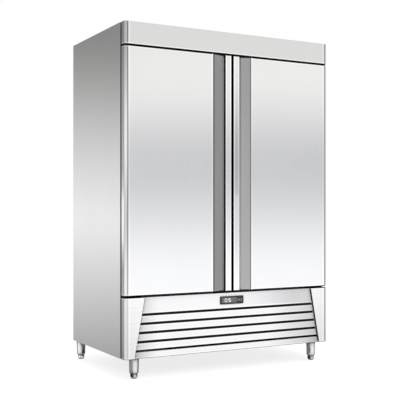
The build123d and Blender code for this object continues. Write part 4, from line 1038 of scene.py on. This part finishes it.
def slabs(outlines, front, back, edge):
    """Bevelled slabs facing -Y from outlines (x, z) going anticlockwise seen from the front."""
    vertices = []
    faces = []
    for outline in outlines:
        count = len(outline)
        middle_x = sum(x for x, _ in outline) / count
        middle_z = sum(z for _, z in outline) / count
        reach = max(math.hypot(x - middle_x, z - middle_z) for x, z in outline)
        inner = 1 - edge / reach
        start = len(vertices)
        for x, z in outline:
            inner_x = middle_x + (x - middle_x) * inner
            inner_z = middle_z + (z - middle_z) * inner
            vertices.append((inner_x, front, inner_z))
        vertices += [(x, front + edge, z) for x, z in outline]
        vertices += [(x, back, z) for x, z in outline]
        faces.append(tuple(start + i for i in range(count)))
        faces.append(tuple(start + 2 * count + i for i in reversed(range(count))))
        for ring in (0, 1):
            for i in range(count):
                j = (i + 1) % count
                near = start + ring * count
                faces.append((near + i, near + count + i, near + count + j, near + j))
    return vertices, faces


def digit_outlines(figure, centre):
    """Outlines of the lit bars of one digit."""
    half = DIGIT_STROKE / 2
    right = DIGIT_WIDTH / 2 - half
    top = DIGIT_HEIGHT / 2 - half
    gap = DIGIT_GAP
    bars = [
        (-right, top, right, top),
        (right, 0, right, top),
        (right, -top, right, 0),
        (-right, -top, right, -top),
        (-right, -top, -right, 0),
        (-right, 0, -right, top),
        (-right, 0, right, 0),
    ]
    outlines = []
    for number in DIGIT_BARS[figure]:
        x0, z0, x1, z1 = bars[number]
        if z0 == z1:
            points = [
                (x0 + gap, z0),
                (x0 + half + gap, z0 - half),
                (x1 - half - gap, z0 - half),
                (x1 - gap, z0),
                (x1 - half - gap, z0 + half),
                (x0 + half + gap, z0 + half),
            ]
        else:
            points = [
                (x0, z0 + gap),
                (x0 + half, z0 + half + gap),
                (x0 + half, z1 - half - gap),
                (x0, z1 - gap),
                (x0 - half, z1 - half - gap),
                (x0 - half, z0 + half + gap),
            ]
        outlines.append([(centre + x, DIGIT_Z + z) for x, z in points])
    return outlines


def make_digits(finishes):
    """Two lit digits just proud of the display window."""
    outlines = [
        outline for figure, centre in DIGITS for outline in digit_outlines(figure, centre)
    ]
    front = WINDOW_FRONT - DIGIT_PROUD
    vertices, faces = slabs(outlines, front, WINDOW_FRONT + DIGIT_SUNK, DIGIT_BEVEL)
    add_piece(
        "display_digits", vertices, faces, finishes["digit_light"], "grille"
    )


def make_button_marks(finishes):
    """An arrow up, an arrow down and a plain dot, printed thick on the controller's buttons."""
    half = MARK_HALF
    tail = half * MARK_POINT
    turns = [turn * 2 * math.pi / MARK_CORNERS for turn in range(MARK_CORNERS)]
    marks = {
        "set_button": [(half * math.cos(turn), half * math.sin(turn)) for turn in turns],
        "down_button": [(0.0, -half), (half, tail), (-half, tail)],
        "up_button": [(-half, -tail), (half, -tail), (0.0, half)],
    }
    for button, outline in marks.items():
        low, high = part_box(button)
        x = (low[0] + high[0]) / 2
        z = (low[2] + high[2]) / 2
        placed = [(x + dx, z + dz) for dx, dz in outline]
        front = low[1] - MARK_HALF_DEPTH
        vertices, faces = slabs([placed], front, low[1] + MARK_HALF_DEPTH, MARK_BEVEL)
        body = button + "_body"
        add_piece(button + "_mark", vertices, faces, finishes["mark_paint"], body)


def filter_half_width(z):
    """Half the width between the grille panel's turned-back sides at a height."""
    return GRILLE_BOTTOM_HALF - GRILLE_SLOPE * (z - GRILLE_BOTTOM) - GRILLE_SIDE


def make_filter(finishes):
    """Pleated black foam filter behind the louvres, between the panel's turned-back sides; its
    near-black colour also stands in for the shade behind the slits.
    """
    widest = filter_half_width(FILTER_BOTTOM)
    count = int(2 * widest / FILTER_PITCH)
    vertices = []
    faces = []
    for column in range(count + 1):
        x = -widest + 2 * widest * column / count
        y = FILTER_FRONT + (FILTER_PLEAT if column % 2 else 0.0)
        reach = (widest - abs(x)) / GRILLE_SLOPE
        top = min(FILTER_TOP, FILTER_BOTTOM + FILTER_END_HEIGHT + reach)
        vertices += [
            (x, y, FILTER_BOTTOM),
            (x, y, top),
            (x, y + FILTER_SHEET, top),
            (x, y + FILTER_SHEET, FILTER_BOTTOM),
        ]
    for column in range(count):
        near = 4 * column
        for corner in range(4):
            after = (corner + 1) % 4
            faces.append((near + corner, near + after, near + 4 + after, near + 4 + corner))
    faces.append((3, 2, 1, 0))
    last = 4 * count
    faces.append((last, last + 1, last + 2, last + 3))
    add_piece(
        "grille_filter", vertices, faces, finishes["filter_foam_and_shade"], "grille"
    )


def sky_curve(tree, height, stops, low_cast=SKY_PLAIN, interpolation="EASE"):
    """Brightness of the studio by the upward part of a direction, with a colour cast below."""
    spread = remap(tree, height, 0.0, 1.0, -SKY_SPAN, SKY_SPAN)
    ramp = tree.nodes.new("ShaderNodeValToRGB")
    band = ramp.color_ramp
    band.interpolation = interpolation
    while len(band.elements) < len(stops):
        band.elements.new(0.5)
    for element, (place, brightness) in zip(band.elements, stops):
        element.position = (place + SKY_SPAN) / (2 * SKY_SPAN)
        level = brightness / SKY_FULL
        share = min(1.0, max(0.0, (place - COOL_START) / COOL_RISE))
        cast = [1 + share * (channel - 1) for channel in low_cast]
        if place >= WARM_START:
            cast = SKY_WARM
        element.color = (*(min(1.0, level * channel) for channel in cast), 1.0)
    tree.links.new(spread, ramp.inputs["Fac"])
    return ramp.outputs["Color"]


def surroundings(tree, direction):
    """Colour of the studio in a direction: right and left in front, due left, and behind."""
    x, y, z = parts_of(tree, direction)
    right = sky_curve(tree, z, SKY_RIGHT, SKY_COOL)
    left = sky_curve(tree, z, SKY_LEFT)
    back = sky_curve(tree, z, SKY_BACK, interpolation="LINEAR")
    side = sky_curve(tree, z, SKY_SIDE)
    right = blend_colour(tree, rising(tree, x, FAR_RIGHT_MEETS), right, SKY_FAR_RIGHT)
    right = blend_colour(tree, rising(tree, x, DUE_RIGHT_MEETS), right, SKY_DUE_RIGHT)
    back = blend_colour(tree, rising(tree, x, REAR_RIGHT_MEETS), back, SKY_REAR_RIGHT)
    middle = falling(tree, away(tree, x, MIDDLE_X), MIDDLE_SPREAD, MIDDLE_SHARE)
    right = blend_colour(tree, middle, right, SKY_MIDDLE)
    front = blend_colour(tree, falling(tree, x, LEFT_MEETS), right, left)
    around = blend_colour(tree, rising(tree, y, BACK_MEETS), front, back)
    return blend_colour(tree, falling(tree, x, SIDE_MEETS), around, side)


def build_studio():
    """White surroundings for the camera, a soft graded studio for polished surfaces."""
    world = bpy.data.worlds.new("studio")
    bpy.context.scene.world = world
    world.use_nodes = True
    tree = world.node_tree
    tree.nodes.clear()
    direction = tree.nodes.new("ShaderNodeTexCoord").outputs["Generated"]
    polished = node(tree, "ShaderNodeBackground", Strength=SKY_FULL)
    tree.links.new(surroundings(tree, direction), polished.inputs["Color"])
    ambient = node(tree, "ShaderNodeBackground", Color=(1, 1, 1, 1), Strength=AMBIENT)
    white = node(tree, "ShaderNodeBackground", Color=(1, 1, 1, 1), Strength=1.0)
    rays = tree.nodes.new("ShaderNodeLightPath").outputs
    lit = mix_shaders(
        tree,
        rays["Is Glossy Ray"],
        ambient.outputs["Background"],
        polished.outputs["Background"],
    )
    shown = maths(tree, "MAXIMUM", rays["Is Camera Ray"], rays["Is Transmission Ray"])
    seen = mix_shaders(tree, shown, lit, white.outputs["Background"])
    output = tree.nodes.new("ShaderNodeOutputWorld")
    tree.links.new(seen, output.inputs["Surface"])


def from_foot_line(tree, place, reach):
    """How far a place is beyond the feet's line on its own side of the middle."""
    return maths(
        tree, "SUBTRACT", place, maths(tree, "MULTIPLY", maths(tree, "SIGN", place), reach)
    )


def floor_place(tree):
    """x and y on the floor, the distance from the nearest foot, and how far to its dark side."""
    x, y, _ = axes(tree)
    beside = from_foot_line(tree, x, FOOT_X)
    before = from_foot_line(tree, y, FOOT_Y)
    from_foot = maths(
        tree, "MAXIMUM", maths(tree, "ABSOLUTE", beside), maths(tree, "ABSOLUTE", before)
    )
    dark_side = maths(tree, "MULTIPLY", maths(tree, "SIGN", y), beside)
    shift = maths(
        tree,
        "MAXIMUM",
        rising(tree, y, FOOT_SIDES, REAR_FOOT_SHIFT),
        falling(tree, x, FOOT_SIDES, LEFT_FOOT_SHIFT),
    )
    return x, y, from_foot, maths(tree, "ADD", dark_side, shift)


def under_object(tree):
    """Share of shadowed floor between the legs, before the right ones and left of the front."""
    x, y, from_foot, dark_side = floor_place(tree)
    leftward = maths(tree, "SUBTRACT", maths(tree, "MULTIPLY", y, UNDER_LEFT_SLANT), x)
    rightward = maths(tree, "ADD", x, UNDER_RIGHT_EXTRA)
    under = maths(
        tree,
        "MULTIPLY",
        falling(tree, maths(tree, "MAXIMUM", rightward, leftward), UNDER_X),
        falling(tree, away(tree, y), UNDER_Y),
    )
    before = maths(
        tree,
        "MULTIPLY",
        maths(tree, "MULTIPLY", rising(tree, x, BEFORE_LEFT), falling(tree, x, BEFORE_RIGHT)),
        maths(tree, "MULTIPLY", rising(tree, y, BEFORE_FRONT), falling(tree, y, BEFORE_BACK)),
    )
    slanted = maths(tree, "SUBTRACT", y, maths(tree, "MULTIPLY", x, BESIDE_SLANT))
    beside = maths(
        tree,
        "MULTIPLY",
        falling(tree, away(tree, x, BESIDE_X), BESIDE_REACH),
        maths(tree, "MULTIPLY", rising(tree, slanted, BESIDE_FRONT), falling(tree, y, BESIDE_BACK)),
    )
    covered = chain(tree, "MAXIMUM", under, before, beside)
    far = rising(tree, from_foot, FOOT_FAR)
    dark = maths(
        tree,
        "MULTIPLY",
        rising(tree, dark_side, FOOT_DARK_SIDE),
        rising(tree, from_foot, FOOT_CLEAR),
    )
    return maths(tree, "MULTIPLY", covered, maths(tree, "MAXIMUM", far, dark))


def under_level(tree):
    """Brightness of the shadowed floor: lighter on the right, midway on the left and outside."""
    x, y, from_foot, _ = floor_place(tree)
    level = chain(
        tree,
        "MAXIMUM",
        remap(tree, x, UNDER_GLOW, UNDER_GLOW_RIGHT, *GLOW_RIGHT_SPREAD),
        falling(tree, x, GLOW_LEFT_SPREAD, UNDER_GLOW_LEFT),
        falling(tree, away(tree, y), GLOW_MIDWAY_SPREAD, UNDER_GLOW_MIDWAY),
    )
    near_foot = remap(tree, from_foot, FOOT_RING_LEVEL, 1.0, *FOOT_RING)
    return maths(tree, "MULTIPLY", level, near_foot)


def floor_paint():
    """Pale paint that takes the shadow; polished surfaces see the studio through it, and a painted
    shadow under and beside the object.
    """
    made = bpy.data.materials.new("floor_paint")
    made.use_nodes = True
    tree = made.node_tree
    tree.nodes.clear()
    rays = tree.nodes.new("ShaderNodeLightPath").outputs
    reach = node(tree, "ShaderNodeVectorMath", operation="LENGTH")
    tree.links.new(space(tree), reach.inputs[0])
    glow = node(tree, "ShaderNodeEmission", Color=(1, 1, 1, 1))
    level = remap(
        tree, reach.outputs["Value"], FLOOR_GLOW, FLOOR_GLOW_FAR, *FLOOR_GLOW_SPREAD
    )
    tree.links.new(level, glow.inputs["Strength"])
    seen_paint = node(tree, "ShaderNodeBsdfDiffuse", Color=FLOOR_COLOUR)
    room_paint = node(tree, "ShaderNodeBsdfDiffuse", Color=ROOM_FLOOR_COLOUR)
    seen = tree.nodes.new("ShaderNodeAddShader")
    tree.links.new(glow.outputs["Emission"], seen.inputs[0])
    tree.links.new(seen_paint.outputs["BSDF"], seen.inputs[1])
    by_eye = mix_shaders(
        tree, rays["Is Camera Ray"], room_paint.outputs["BSDF"], seen.outputs["Shader"]
    )
    # Polished surfaces see a painted shadow under and beside the object, and the studio elsewhere
    clear = tree.nodes.new("ShaderNodeBsdfTransparent")
    dark = node(tree, "ShaderNodeEmission", Color=(1, 1, 1, 1))
    tree.links.new(under_level(tree), dark.inputs["Strength"])
    by_gloss = mix_shaders(
        tree, under_object(tree), clear.outputs["BSDF"], dark.outputs["Emission"]
    )
    surface = mix_shaders(tree, rays["Is Glossy Ray"], by_eye, by_gloss)
    output = tree.nodes.new("ShaderNodeOutputMaterial")
    tree.links.new(surface, output.inputs["Surface"])
    return made


def build_floor():
    """Plain pale floor under the object."""
    half = FLOOR_SIZE / 2
    corners = [(-half, -half, 0), (half, -half, 0), (half, half, 0), (-half, half, 0)]
    mesh = bpy.data.meshes.new("floor")
    mesh.from_pydata(corners, [], [(0, 1, 2, 3)])
    mesh.materials.append(floor_paint())
    floor = bpy.data.objects.new("floor", mesh)
    bpy.context.scene.collection.objects.link(floor)


def softbox(name, place, size, power):
    """Large soft lamp that lights painted surfaces and the floor."""
    data = bpy.data.lights.new(name, "AREA")
    data.shape = "RECTANGLE"
    data.size, data.size_y = size
    data.energy = power
    lamp = bpy.data.objects.new(name, data)
    lamp.location = place
    aim = Vector(LAMP_TARGET) - Vector(place)
    lamp.rotation_euler = aim.to_track_quat("-Z", "Y").to_euler()
    lamp.visible_glossy = False
    bpy.context.scene.collection.objects.link(lamp)


def light_object():
    """Two softboxes in front, one overhead and one behind."""
    for name, place, size, power in LAMPS:
        softbox(name, place, size, power)


def place_camera():
    """Camera at the photograph's viewing angle."""
    data = bpy.data.cameras.new("camera")
    data.lens = CAMERA_LENS
    data.sensor_width = CAMERA_SENSOR
    data.shift_y = CAMERA_SHIFT_UP
    data.clip_end = CAMERA_REACH
    camera = bpy.data.objects.new("camera", data)
    camera.location = CAMERA_PLACE
    camera.rotation_euler = (math.radians(90.0), 0.0, CAMERA_YAW)
    bpy.context.scene.collection.objects.link(camera)
    bpy.context.scene.camera = camera


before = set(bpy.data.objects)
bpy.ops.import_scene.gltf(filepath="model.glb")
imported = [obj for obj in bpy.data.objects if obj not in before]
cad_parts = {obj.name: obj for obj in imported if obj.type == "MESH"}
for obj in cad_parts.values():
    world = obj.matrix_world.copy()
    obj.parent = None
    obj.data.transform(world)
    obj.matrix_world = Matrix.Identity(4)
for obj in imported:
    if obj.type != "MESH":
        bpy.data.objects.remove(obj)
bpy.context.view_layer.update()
place_camera()
build_studio()
build_floor()
light_object()
finishes = dress(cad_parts)
make_digits(finishes)
make_button_marks(finishes)
make_filter(finishes)
bpy.context.scene.view_settings.view_transform = "Standard"
